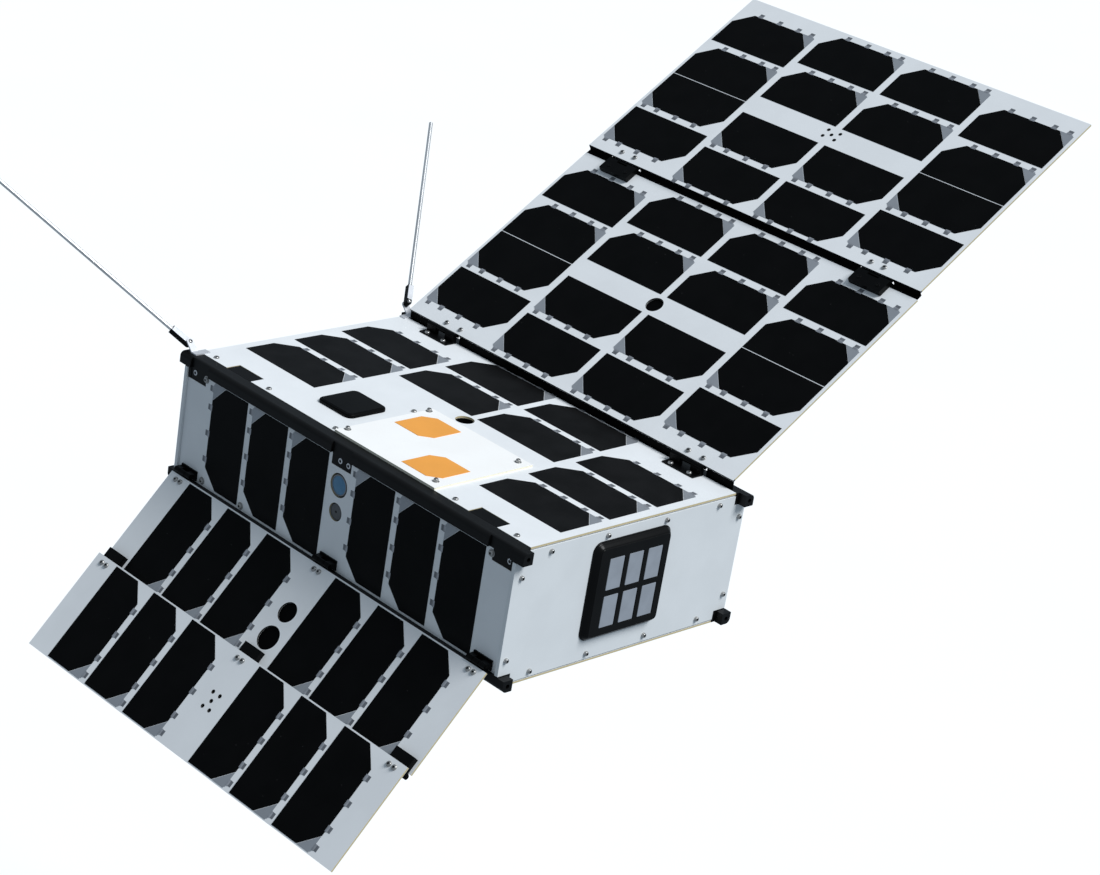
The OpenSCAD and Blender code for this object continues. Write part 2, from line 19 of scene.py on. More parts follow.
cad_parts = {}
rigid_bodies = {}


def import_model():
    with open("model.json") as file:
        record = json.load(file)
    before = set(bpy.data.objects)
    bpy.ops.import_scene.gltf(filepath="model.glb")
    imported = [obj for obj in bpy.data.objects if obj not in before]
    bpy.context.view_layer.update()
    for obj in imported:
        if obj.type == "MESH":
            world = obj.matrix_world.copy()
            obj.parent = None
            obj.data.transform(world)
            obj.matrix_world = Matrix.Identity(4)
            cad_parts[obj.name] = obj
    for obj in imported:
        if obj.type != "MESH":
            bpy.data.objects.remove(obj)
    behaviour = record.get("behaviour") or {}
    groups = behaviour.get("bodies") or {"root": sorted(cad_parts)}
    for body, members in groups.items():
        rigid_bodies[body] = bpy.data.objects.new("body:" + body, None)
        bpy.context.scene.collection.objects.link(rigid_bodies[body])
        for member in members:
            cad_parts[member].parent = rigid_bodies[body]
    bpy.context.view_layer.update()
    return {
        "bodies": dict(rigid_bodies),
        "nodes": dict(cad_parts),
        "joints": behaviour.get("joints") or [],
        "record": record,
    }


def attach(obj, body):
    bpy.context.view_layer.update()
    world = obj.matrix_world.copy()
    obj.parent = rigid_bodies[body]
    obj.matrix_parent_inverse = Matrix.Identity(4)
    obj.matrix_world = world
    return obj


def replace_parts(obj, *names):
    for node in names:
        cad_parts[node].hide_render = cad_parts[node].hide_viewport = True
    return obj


LOG = logging.getLogger("satellite")
MM = 0.001
Array = np.ndarray
Colour = tuple[float, float, float]
Spot = tuple[float, float]  # x and y in mm
Cell = tuple[float, float, float]  # x and y in mm, turn in degrees
Nodes = dict[str, bpy.types.Object]


# ------------------------------------------------------------------ places and panels


@dataclass(frozen=True)
class Frame3:
    """A local frame on the object: an origin and three unit axes, in the row frame."""

    origin: tuple[float, float, float]
    x: tuple[float, float, float]
    y: tuple[float, float, float]
    z: tuple[float, float, float]

    def out(self, points: Array) -> Array:
        """Local points to the row frame: origin + px*x + py*y + pz*z."""
        axes = np.array([self.x, self.y, self.z], float)
        return np.asarray(points, float) @ axes + np.array(self.origin, float)

    def moved(self, x: float, y: float, z: float = 0.0) -> "Frame3":
        """The same axes with the origin moved by a local offset."""
        place = self.out(np.array([[x, y, z]], float))[0]
        return Frame3(tuple(place), self.x, self.y, self.z)

    def turned(self, degrees: float) -> "Frame3":
        """The same origin with x and y turned about z."""
        c, s = math.cos(math.radians(degrees)), math.sin(math.radians(degrees))
        x, y = np.array(self.x), np.array(self.y)
        return Frame3(self.origin, tuple(c * x + s * y), tuple(-s * x + c * y), self.z)


def wing_frame(origin: Sequence[float], rise: float, flip: bool) -> Frame3:
    """The frame of a wing panel: origin on the root axis, y out along the panel, z up.

    Args:
        origin: a point of the root axis, in metres.
        rise: angle of the panel about the X axis, in degrees.
        flip: True for the wing that opens towards -Y, whose x then runs along -X.

    Returns:
        The frame, with z pointing out of the cell side.
    """
    c, s = math.cos(math.radians(rise)), math.sin(math.radians(rise))
    if flip:
        return Frame3(tuple(origin), (-1, 0, 0), (0, -c, -s), (0, -s, c))
    return Frame3(tuple(origin), (1, 0, 0), (0, c, s), (0, -s, c))


# ------------------------------------------------------------------ mesh building

CORNER_SHARE = 1.6
EDGE_STEPS = 5


@dataclass
class Shape:
    """Points and faces that grow as parts are added, with a material number for each face."""

    points: list[Array] = field(default_factory=list)
    faces: list[tuple[int, ...]] = field(default_factory=list)
    marks: list[int] = field(default_factory=list)
    smooth: list[bool] = field(default_factory=list)
    count: int = 0

    def add(self, points: Array, faces: Iterable[Sequence[int]], mark: int = 0, smooth: bool = False) -> None:
        """Adds a patch of points with its faces.

        Args:
            points: n by 3 array.
            faces: index tuples into points.
            mark: material number of these faces.
            smooth: True if they shade as a curved surface.
        """
        points = np.asarray(points, float)
        base = self.count
        self.points.append(points)
        for face in faces:
            self.faces.append(tuple(int(i) + base for i in face))
            self.marks.append(mark)
            self.smooth.append(smooth)
        self.count += len(points)

    def grid(self, points: Array, mark: int = 0, smooth: bool = True, close_u: bool = False) -> None:
        """Adds a sheet of quads over an u by v grid of points.

        Args:
            points: array of shape (u, v, 3); normals follow du cross dv.
            mark: material number.
            smooth: True for a curved surface.
            close_u: True to join the last row to the first.
        """
        nu, nv = points.shape[:2]
        a, b = np.meshgrid(np.arange(nu if close_u else nu - 1), np.arange(nv - 1), indexing="ij")
        here, ahead = a * nv + b, (a + 1) % nu * nv + b
        quads = np.stack([here, ahead, ahead + 1, here + 1], -1).reshape(-1, 4)
        self.add(points.reshape(-1, 3), quads, mark, smooth)

    def block(self, low: Sequence[float], high: Sequence[float], round_by: float = 0.0) -> None:
        """Adds a box, its upright corners and upper edges rounded if round_by is over 0.

        Args:
            low: the corner with the smallest x, y and z.
            high: the corner with the largest ones.
            round_by: radius of the upper edges; the upright corners have CORNER_SHARE times it.
        """
        (x0, y0, z0), (x1, y1, z1) = low, high
        if round_by <= 0:
            p = np.array([[x, y, z] for z in (z0, z1) for y in (y0, y1) for x in (x0, x1)])
            f = [(0, 2, 3, 1), (4, 5, 7, 6), (0, 1, 5, 4), (1, 3, 7, 5), (3, 2, 6, 7), (2, 0, 4, 6)]
            self.add(p, f)
            return
        outline = rounded_outline(x1 - x0, y1 - y0, round_by * CORNER_SHARE, 4)
        self.pillow(outline, np.array([(x0 + x1) / 2, (y0 + y1) / 2]), z0, z1, round_by)

    def pillow(self, outline: Array, centre: Array, z0: float, z1: float, edge: float) -> None:
        """Adds a plate of any convex outline whose upper edge is a quarter circle.

        The rim goes straight up from z0 to z1 - edge, then follows a quarter circle of radius
        edge inwards to z1: inset = edge*(1 - cos t), height = z1 - edge + edge*sin t.

        Args:
            outline: n by 2 points anticlockwise about (0, 0).
            centre: where (0, 0) goes.
            z0: height of the flat underside.
            z1: height of the flat top.
            edge: radius of the upper edge.
        """
        t = np.linspace(0, math.pi / 2, EDGE_STEPS)
        insets = np.concatenate([[0.0], edge * (1 - np.cos(t))])
        heights = np.concatenate([[z0], z1 - edge + edge * np.sin(t)])
        rings = outline[None] + insets[:, None, None] * inset_directions(outline) + centre
        points = raised(rings, heights[:, None])
        whole = tuple(range(len(outline)))
        self.grid(points.transpose(1, 0, 2), close_u=True)
        self.add(points[-1], [whole])
        self.add(points[0], [whole[::-1]])

    def lathe(
        self, profile: Sequence[Spot], centre: Sequence[float], turns: int = 20, mark: int = 0,
        smooth: bool = True, close: bool = True,
    ) -> None:
        """Adds a turned form: the profile's (radius, height) points carried round the z axis.

        Args:
            profile: points from the axis at the top, outwards and down.
            centre: x, y, z of the foot of the axis.
            turns: steps round the circle.
            mark: material number.
            smooth: True for smooth shading between the steps.
            close: True if the first point lies on the axis.
        """
        angle = np.arange(turns) * (2 * math.pi / turns)
        r, h = np.array(profile, float).T
        flat = np.stack([np.outer(np.cos(angle), r), np.outer(np.sin(angle), r)], -1)
        points = raised(flat, h) + np.array(centre, float)
        start = 1 if close else 0
        self.grid(points[:, start:][:, ::-1], mark, smooth, close_u=True)
        if close:
            fan = [(i, (i + 1) % turns, turns) for i in range(turns)]
            self.add(np.vstack([points[:, 1], points[:1, 0]]), fan, mark, smooth)

    def placed(self, frame: Frame3) -> "Shape":
        """The same shape with its points carried into the row frame."""
        points = [frame.out(p) for p in self.points]
        return Shape(points, list(self.faces), list(self.marks), list(self.smooth), self.count)

    def take(self, other: "Shape") -> None:
        """Adds all of another shape."""
        self.points += other.points
        self.faces += [tuple(i + self.count for i in f) for f in other.faces]
        self.marks += other.marks
        self.smooth += other.smooth
        self.count += other.count


def raised(flat: Array, heights: Any) -> Array:
    """Points with an x and y given a z each."""
    return np.concatenate([flat, np.broadcast_to(heights, flat.shape[:-1])[..., None]], -1)


def rounded_outline(width: float, height: float, radius: float, steps: int) -> Array:
    """Outline of a rectangle with round corners, anticlockwise.

    Each corner is a quarter circle: its centre + radius*(cos a, sin a).

    Args:
        width: size along x.
        height: size along y.
        radius: of the corners.
        steps: straight stretches in each quarter.

    Returns:
        The points, n by 2, about (0, 0).
    """
    t = np.linspace(0, math.pi / 2, steps + 1)
    corners = []
    for quarter, (sx, sy) in enumerate(((1, 1), (-1, 1), (-1, -1), (1, -1))):
        a = t + quarter * math.pi / 2
        centre = np.array([sx * (width / 2 - radius), sy * (height / 2 - radius)])
        corners.append(centre + radius * np.stack([np.cos(a), np.sin(a)], -1))
    return np.concatenate(corners)


def inset_directions(outline: Array) -> Array:
    """Inward direction at each point of an anticlockwise outline, long enough to inset its edges by 1.

    The two edge normals n1 and n2 at a point give (n1 + n2) / (1 + n1.n2).
    """
    ahead = np.roll(outline, -1, 0) - outline
    ahead /= np.linalg.norm(ahead, axis=1)[:, None]
    back = np.roll(ahead, 1, 0)
    n1 = np.stack([-back[:, 1], back[:, 0]], -1)
    n2 = np.stack([-ahead[:, 1], ahead[:, 0]], -1)
    return (n1 + n2) / (1 + (n1 * n2).sum(1))[:, None]


# ------------------------------------------------------------------ shader building


class Sock:
    """A shader socket that Python arithmetic works on."""

    def __init__(self, kit: "NodeKit", socket: Any) -> None:
        self.kit = kit
        self.socket = socket

    def calc(self, operation: str, *values: Any) -> "Sock":
        """A Math node of these values."""
        return self.kit.add("ShaderNodeMath", {"operation": operation}, dict(enumerate(values)))

    def __add__(self, other: Any) -> "Sock":
        """self + other."""
        return self.calc("ADD", self, other)

    def __sub__(self, other: Any) -> "Sock":
        """self - other."""
        return self.calc("SUBTRACT", self, other)

    def __mul__(self, other: Any) -> "Sock":
        """self * other."""
        return self.calc("MULTIPLY", self, other)

    def __truediv__(self, other: Any) -> "Sock":
        """self / other."""
        return self.calc("DIVIDE", self, other)

    def above(self, limit: float) -> "Sock":
        """1 where the value is over the limit, else 0."""
        return self.calc("GREATER_THAN", self, limit)

    def below(self, limit: float) -> "Sock":
        """1 where the value is under the limit, else 0."""
        return self.calc("LESS_THAN", self, limit)

    def fraction(self) -> "Sock":
        """The value's fractional part."""
        return self.calc("FRACT", self)

    def sine(self) -> "Sock":
        """The sine of the value in radians."""
        return self.calc("SINE", self)

    def span(self, low: float, high: float) -> "Sock":
        """0 at low and 1 at high, held outside them."""
        values = {"Value": self, "From Min": low, "From Max": high}
        return self.kit.add("ShaderNodeMapRange", {"interpolation_type": "SMOOTHSTEP"}, values)


@dataclass
class NodeKit:
    """Makes the nodes of one material."""

    tree: bpy.types.NodeTree

    def add(
        self, kind: str, settings: dict[str, Any] | None = None, values: dict[Any, Any] | None = None,
        output: Any = 0,
    ) -> Sock:
        """Adds a node.

        Args:
            kind: the node's type name.
            settings: its properties.
            values: numbers, colours or other sockets for its inputs, by name or number.
            output: which output to give back.

        Returns:
            The chosen output.
        """
        node = self.tree.nodes.new(kind)
        for key, value in (settings or {}).items():
            setattr(node, key, value)
        for key, value in (values or {}).items():
            if isinstance(value, Sock):
                self.tree.links.new(value.socket, node.inputs[key])
            else:
                node.inputs[key].default_value = value
        return Sock(self, node.outputs[output])

    def place(self) -> Sock:
        """The point in the object's own coordinates, in metres."""
        return self.add("ShaderNodeTexCoord", output="Object")

    def along(self, point: Sock, axis: Sequence[float], origin: Sequence[float] = (0, 0, 0)) -> Sock:
        """How far a point lies along an axis from an origin, in metres."""
        dot = self.vector("DOT_PRODUCT", point, tuple(axis))
        return dot - float(np.dot(axis, origin))

    def vector(self, operation: str, point: Sock, other: Sequence[float]) -> Sock:
        """The number that a vector operation gives for a point and a fixed vector."""
        return self.add("ShaderNodeVectorMath", {"operation": operation}, {0: point, 1: other}, "Value")

    def noise(self, point: Sock, scale: float, detail: float = 2.0, rough: float = 0.5) -> Sock:
        """Fractal noise from 0 to 1; scale is in waves a metre."""
        values = {"Vector": point, "Scale": scale, "Detail": detail, "Roughness": rough}
        return self.add("ShaderNodeTexNoise", {"noise_dimensions": "3D"}, values, "Fac")

    def mix(self, share: Any, first: Any, second: Any) -> Sock:
        """A colour between two, by a share from 0 to 1."""
        values = {0: share, 6: rgba(first), 7: rgba(second)}
        return self.add("ShaderNodeMix", {"data_type": "RGBA"}, values, 2)


def rgba(colour: Any) -> Any:
    """A colour as four numbers; a socket stays as it is."""
    return colour if isinstance(colour, Sock) else (*colour[:3], 1.0)


def scaled(colour: Colour, by: float) -> Colour:
    """A colour made lighter or darker."""
    return tuple(min(1.0, c * by) for c in colour)


Looks = tuple[Sock, Sock, Sock]


# ------------------------------------------------------------------ finishes

DRIFT_SPAN = (0.3, 0.7)
GLOSS_SCALE = 0.35
COAT_ROUGHNESS = 0.1
# painted shade on the boards: colours for the walls of bores and for cut edges near a hinge
BORE_SHADE_DARK = (0.02, 0.018, 0.015)
EDGE_SHADE_DARK = (0.012, 0.011, 0.010)
DUST_GREY = (0.2, 0.2, 0.2)


@dataclass(frozen=True)
class Finish:
    """A painted, plated or bare surface with a grain that its colour, gloss and relief follow.

    mottle is the share by which the colour drifts over mottle_size metres; grain_size is the
    width of the fine relief, and grain its depth in metres. gloss_drift spreads the roughness.
    """

    name: str
    colour: Colour
    roughness: float
    metallic: float = 0.0
    specular: float = 0.5
    coat: float = 0.0
    mottle: float = 0.06
    mottle_size: float = 0.03
    grain_size: float = 0.0004
    grain: float = 0.00001
    gloss_drift: float = 0.08

    def material(self) -> bpy.types.Material:
        """The finish as a Blender material, made once for each name."""
        title = self.name + "_finish"
        known = bpy.data.materials.get(title)
        if known is not None:
            return known
        made = bpy.data.materials.new(title)
        made.use_nodes = True
        made.node_tree.nodes.clear()
        kit = NodeKit(made.node_tree)
        point = kit.place()
        drift = kit.noise(point, 1 / self.mottle_size, 3.0).span(*DRIFT_SPAN)
        base = kit.mix(drift, scaled(self.colour, 1 - self.mottle), scaled(self.colour, 1 + self.mottle))
        fine = kit.noise(point, 1 / self.grain_size, 2.0, 0.6)
        patches = kit.noise(point, GLOSS_SCALE / self.mottle_size, 4.0)
        rough = patches * (2 * self.gloss_drift) + (self.roughness - self.gloss_drift)
        base, rough, relief = self.detail(kit, point, base, rough, fine * self.grain)
        bump = kit.add("ShaderNodeBump", None, {"Strength": 1.0, "Distance": 1.0, "Height": relief}, "Normal")
        values = {
            "Base Color": base, "Roughness": rough, "Metallic": self.metallic, "Normal": bump,
            "Specular IOR Level": self.specular, "Coat Weight": self.coat,
            "Coat Roughness": COAT_ROUGHNESS,
        }
        shader = kit.add("ShaderNodeBsdfPrincipled", None, values, "BSDF")
        out = made.node_tree.nodes.new("ShaderNodeOutputMaterial")
        made.node_tree.links.new(shader.socket, out.inputs["Surface"])
        made.diffuse_color = (*self.colour, 1.0)
        return made

    def detail(self, kit: NodeKit, point: Sock, base: Sock, rough: Sock, relief: Sock) -> Looks:
        """What a special finish adds to the plain one.

        Args:
            kit: the material's node maker.
            point: place in object coordinates.
            base: colour so far.
            rough: roughness so far.
            relief: height so far, in metres.

        Returns:
            The colour, roughness and height to use.
        """
        return base, rough, relief


@dataclass(frozen=True)
class Laminate(Finish):
    """A circuit board: solder mask on both faces and the bare cream glass-fibre at its cut edges.

    top is the height of the board's upper face in frame. The walls of its bores, each an x, y
    and reach, are painted dark as painted shade, and every cut edge that lies nearer to the frame's
    origin along y than its painted-shade limit gets the same painted shade. skin is the mask's
    thickness and ply that of one layer of the core.
    """

    frame: Frame3 | None = None
    top: float = 0.0
    thickness: float = 1.6 * MM
    skin: float = 0.12 * MM
    ply: float = 0.2 * MM
    weave: float = 1.1 * MM
    weave_depth: float = 0.0008 * MM
    edge: Colour = (0.62, 0.52, 0.30)
    bores: tuple[tuple[float, float, float], ...] = ()
    dark_below: float = -1.0

    def detail(self, kit: NodeKit, point: Sock, base: Sock, rough: Sock, relief: Sock) -> Looks:
        """Shows the core where a point lies between the two faces, painted shade on the bore walls and on cut
        edges near the origin, and a faint weave on the faces.
        """
        height = kit.along(point, self.frame.z, self.frame.out([(0, 0, self.top)])[0])
        core = height.below(-self.skin) * height.above(self.skin - self.thickness)
        layers = (height / self.ply).fraction().span(0.2, 0.8)
        core_colour = kit.mix(layers, scaled(self.edge, 0.85), scaled(self.edge, 1.1))
        # painted shade: the walls of each bore are darkened as if in shadow
        for x, y, radius in self.bores:
            centre = tuple(self.frame.out([(x, y, self.top)])[0])
            away = kit.vector("DISTANCE", point, centre)
            core_colour = kit.mix(away.below(radius), core_colour, BORE_SHADE_DARK)
        # painted shade: cut edges nearer the origin along y than the limit are darkened as if in shadow
        inner = kit.along(point, self.frame.y, self.frame.origin).below(self.dark_below)
        core_colour = kit.mix(inner, core_colour, EDGE_SHADE_DARK)
        turn = 2 * math.pi / self.weave
        warp, weft = ((kit.along(point, axis) * turn).sine() for axis in (self.frame.x, self.frame.y))
        return kit.mix(core, base, core_colour), rough + core * 0.3, relief + warp * weft * self.weave_depth


@dataclass(frozen=True)
class CellGlass(Finish):
    """A space solar cell under cover glass: near black, with hair-thin collector lines and dust.

    pitch is the distance from line to line, and line the share of it that a line covers.
    speck_scale sets how many places for a speck there are in a metre, and speck its size.
    """

    frame: Frame3 | None = None
    across: bool = False
    pitch: float = 1.45 * MM
    line: float = 0.06
    speck_scale: float = 160.0
    speck: float = 0.035

    def detail(self, kit: NodeKit, point: Sock, base: Sock, rough: Sock, relief: Sock) -> Looks:
        """Adds the lines, which run over the cell's width, and a few light specks."""
        axis = self.frame.y if self.across else self.frame.x
        lines = (kit.along(point, axis) / self.pitch).fraction().above(1 - self.line)
        values = {"Vector": point, "Scale": self.speck_scale}
        specks = kit.add("ShaderNodeTexVoronoi", {"feature": "F1"}, values, "Distance")
        dust = specks.below(self.speck) * kit.noise(point, 90.0).above(0.52)
        base = kit.mix(lines * 0.5, base, scaled(self.colour, 2.2))
        return kit.mix(dust * 0.35, base, DUST_GREY), rough + dust * 0.2, relief


@dataclass(frozen=True)
class Brushed(Finish):
    """Drawn or brushed metal with fine lines along one axis.

    stretch is the share of a point's place along the axis that the lines' noise leaves out, and
    line_scale its waves a metre across the axis.
    """

    axis: tuple[float, float, float] = (1.0, 0.0, 0.0)
    stretch: float = 0.96
    line_scale: float = 2600.0
    line_depth: float = 0.004 * MM

    def detail(self, kit: NodeKit, point: Sock, base: Sock, rough: Sock, relief: Sock) -> Looks:
        """Stretches a noise along the axis and lets gloss and height follow it."""
        along = kit.along(point, self.axis)
        same = kit.add("ShaderNodeCombineXYZ", None, {0: along, 1: along, 2: along})
        values = {0: tuple(-self.stretch * a for a in self.axis), 1: same, 2: point}
        squeezed = kit.add("ShaderNodeVectorMath", {"operation": "MULTIPLY_ADD"}, values)
        lines = kit.noise(squeezed, self.line_scale)
        return base, rough + lines * 0.12, relief + lines * self.line_depth


# ------------------------------------------------------------------ the object's own finishes

BLACK_BLOCK = Finish("black_block", (0.002, 0.002, 0.0022), 0.36, specular=0.08, mottle=0.2, grain=0.000008)
STEEL = Finish(
    "bright_steel", (0.40, 0.395, 0.385), 0.28, metallic=0.75, mottle=0.08, mottle_size=0.004, grain=0.000003,
)
SOCKET = Finish("socket_shadow", (0.05, 0.05, 0.052), 0.5, metallic=0.8, mottle_size=0.003)
TAB_FOOT = Finish("tab_foot", (0.19, 0.20, 0.22), 0.45, metallic=0.45, mottle=0.15, mottle_size=0.004)
TAB_LOOP = Finish("tab_loop", (0.40, 0.41, 0.44), 0.34, metallic=0.6, mottle=0.15, mottle_size=0.004)
DIODE = Finish("diode_glass", (0.34, 0.36, 0.39), 0.3, metallic=0.35, mottle=0.05, coat=0.3)
ORANGE = Finish("patch_orange", (0.88, 0.375, 0.068), 0.5, mottle=0.03, grain=0.000004, specular=0.3)
PUCK = Finish("puck_black", (0.0022, 0.0022, 0.0022), 0.36, specular=0.05, mottle=0.3, grain=0.00001)
BEZEL = Finish("bezel_black", (0.003, 0.003, 0.003), 0.30, specular=0.14, mottle=0.2, grain=0.000004)
PANE = Finish("window_pane", (0.31, 0.34, 0.385), 0.3, mottle=0.06, mottle_size=0.012, coat=0.3)
PLATE_SILVER = Finish("plate_silver", (0.66, 0.67, 0.70), 0.34, metallic=0.35, mottle=0.08, mottle_size=0.006)
# painted shade: near-black sheet finish for gaps and holes where only shade is seen
SHADE_SHEET = Finish("black_shade_sheet", (0.0012, 0.0012, 0.0013), 0.6, specular=0.04, mottle=0.2, grain=0.000004)
GREY_BLOCK = Finish("equipment_grey", (0.12, 0.125, 0.13), 0.5, metallic=0.3)
PLATE_WHITE = Finish("end_plate_white", (0.76, 0.785, 0.80), 0.45, mottle=0.02, grain=0.000004)
BLUE_GLASS = Finish("sun_filter", (0.05, 0.20, 0.36), 0.16, coat=0.5, mottle=0.06, mottle_size=0.004)
FILTER_RIM = Finish("filter_rim", (0.20, 0.21, 0.23), 0.35, metallic=0.5)
EYE_GREY = Finish("eye_grey", (0.10, 0.103, 0.108), 0.32, metallic=0.2, mottle=0.1, mottle_size=0.003)
FLOOR_WHITE = Finish("floor_white", (1.0, 0.98, 0.965), 0.9, specular=0.1, mottle=0.01, mottle_size=0.5)
RAIL_BLACK = Brushed(
    "rail_black", (0.0045, 0.0045, 0.0047), 0.33, specular=0.16, mottle=0.3, mottle_size=0.05,
)
HARDWARE = (STEEL, SOCKET)
MASK_WHITE = (0.83, 0.845, 0.86)
MASK_GLOSS = 0.42
MASK_DRIFT = 0.02
PATCH_WHITE = (0.99, 0.975, 0.955)
PATCH_EDGE = (0.95, 0.88, 0.70)
CELL_BLACK = (0.0055, 0.0055, 0.0058)
ROD_STEEL = (0.80, 0.80, 0.80)


# ------------------------------------------------------------------ shared pieces


def piece(
    name: str, shape: Shape, body: str, finishes: Sequence[Finish]
) -> bpy.types.Object:
    """Turns a shape into a mesh object that rides on a CAD body.

    Args:
        name: the piece's name.
        shape: points and faces in the row frame.
        body: the CAD body it moves with.
        finishes: one for each material number in the shape.

    Returns:
        The object, at the origin.
    """
    points = np.concatenate(shape.points)
    mesh = bpy.data.meshes.new(name)
    mesh.from_pydata(points.tolist(), [], shape.faces)
    for finish in finishes:
        mesh.materials.append(finish.material())
    mesh.polygons.foreach_set("material_index", np.array(shape.marks, np.int32))
    mesh.polygons.foreach_set("use_smooth", np.array(shape.smooth, bool))
    mesh.validate()
    mesh.update()
    made = bpy.data.objects.new(name, mesh)
    bpy.context.scene.collection.objects.link(made)
    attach(made, body)
    LOG.info("piece %s: %d faces on %s", name, len(shape.faces), body)
    return made


def dress(nodes: Nodes, finish: Finish, *names: str) -> None:
    """Gives CAD nodes one finish.

    Args:
        nodes: the CAD nodes by name.
        finish: what they get.
        names: which nodes.
    """
    for name in names:
        made = nodes[name]
        if not made.material_slots:
            made.data.materials.append(finish.material())
        for slot in made.material_slots:
            slot.link = "OBJECT"
            slot.material = finish.material()
        LOG.info("CAD node %s: %s", name, finish.name)


class Head(Enum):
    """Kinds of screw: head radius, head height, hexagon socket radius, in metres."""

    BUTTON = (2.05 * MM, 1.35 * MM, 0.95 * MM)
    CAP = (1.75 * MM, 2.00 * MM, 0.95 * MM)
    FLAT = (2.05 * MM, 0.30 * MM, 1.20 * MM)


HEAD_TURNS = 18
DOME_SHARE = (1.0, 1.0, 0.93, 0.75, 0.45, 0.0)
DOME_LEVEL = (0.0, 0.35, 0.62, 0.85, 0.97, 1.0)
SOCKET_FLOOR = 0.35
SOCKET_TAPER = 0.97
WASHER_THICK = 0.3 * MM
WASHER_REACH = 0.8 * MM
WASHER_EDGE = 0.1 * MM
TURN_STEP = 37.0


def screw(frame: Frame3, kind: Head, turn: float = 0.0, washer: bool = False) -> Shape:
    """A screw head on a surface, z up, with a six-sided socket.

    The dome runs from the rim to the socket's lip: DOME_SHARE says how much of the head's radius
    each ring has against the socket's, and DOME_LEVEL its share of the head's height. The
    socket's radius at an angle a is s*cos 30/cos(a mod 60 - 30).

    Args:
        frame: the foot of the screw.
        kind: which head.
        turn: angle of the socket in degrees.
        washer: True to add a plain washer under the head.

    Returns:
        The shape: material 0 is steel, 1 the socket.
    """
    radius, height, socket = kind.value
    base = WASHER_THICK if washer else 0.0
    angle = np.arange(HEAD_TURNS) * 2 * math.pi / HEAD_TURNS
    round_about = np.stack([np.cos(angle), np.sin(angle)], -1)
    sixth = math.pi / 3
    off_flat = np.mod(angle + math.radians(turn), sixth) - sixth / 2
    hexagon = socket * math.cos(sixth / 2) / np.cos(off_flat)
    share, level = np.array(DOME_SHARE), np.array(DOME_LEVEL) * height + base
    radii = hexagon[:, None] * (1 - share) + radius * share
    made = Shape()
    made.grid(raised(radii[..., None] * round_about[:, None], level), close_u=True)
    inner = hexagon[:, None] * round_about
    floor = base + height * SOCKET_FLOOR
    wall = np.stack([raised(inner, level[-1]), raised(inner * SOCKET_TAPER, floor)], 1)
    made.grid(wall, 1, False, close_u=True)
    made.add(wall[:, 1], [tuple(range(HEAD_TURNS))], 1)
    if washer:
        rim = radius + WASHER_REACH
        rounded = [(rim - WASHER_EDGE, base), (rim, base - WASHER_EDGE)]
        made.lathe([(0, base), *rounded, (rim, 0)], (0, 0, 0), 24)
    return made.placed(frame)


def screws(frame: Frame3, places: Sequence[Spot], kind: Head, washer: bool = False) -> Shape:
    """Screw heads on a face, each turned differently.

    Args:
        frame: of the face, z out of it.
        places: x and y of each, in mm.
        kind: which head.
        washer: True to add washers.

    Returns:
        The heads in the row frame.
    """
    made = Shape()
    for number, (x, y) in enumerate(places):
        made.take(screw(frame.moved(x * MM, y * MM), kind, TURN_STEP * number, washer))
    return made


# painted-shade sheets behind the holes: thickness, edge and corner share
SHADE_SHEET_THICK = 0.2
SHADE_SHEET_EDGE = 0.05
SHADE_SHEET_CORNER = 0.8


def shade_sheets(places: Sequence[tuple[float, float, float, float]], level: float) -> Shape:
    """Thin dark sheets of painted shade behind the holes of a board.

    Args:
        places: centre x, y and half sizes, in mm.
        level: height of its upper face in the board's frame, in mm.

    Returns:
        The painted-shade patches, each with round corners.
    """
    made = Shape()
    for x, y, half_x, half_y in places:
        corner = SHADE_SHEET_CORNER * min(half_x, half_y)
        outline = rounded_outline(2 * half_x * MM, 2 * half_y * MM, corner * MM, 6)
        centre = np.array([x, y]) * MM
        made.pillow(outline, centre, (level - SHADE_SHEET_THICK) * MM, level * MM, SHADE_SHEET_EDGE * MM)
    return made


# ------------------------------------------------------------------ solar cells


DIAGONAL_SHARE = 1.6


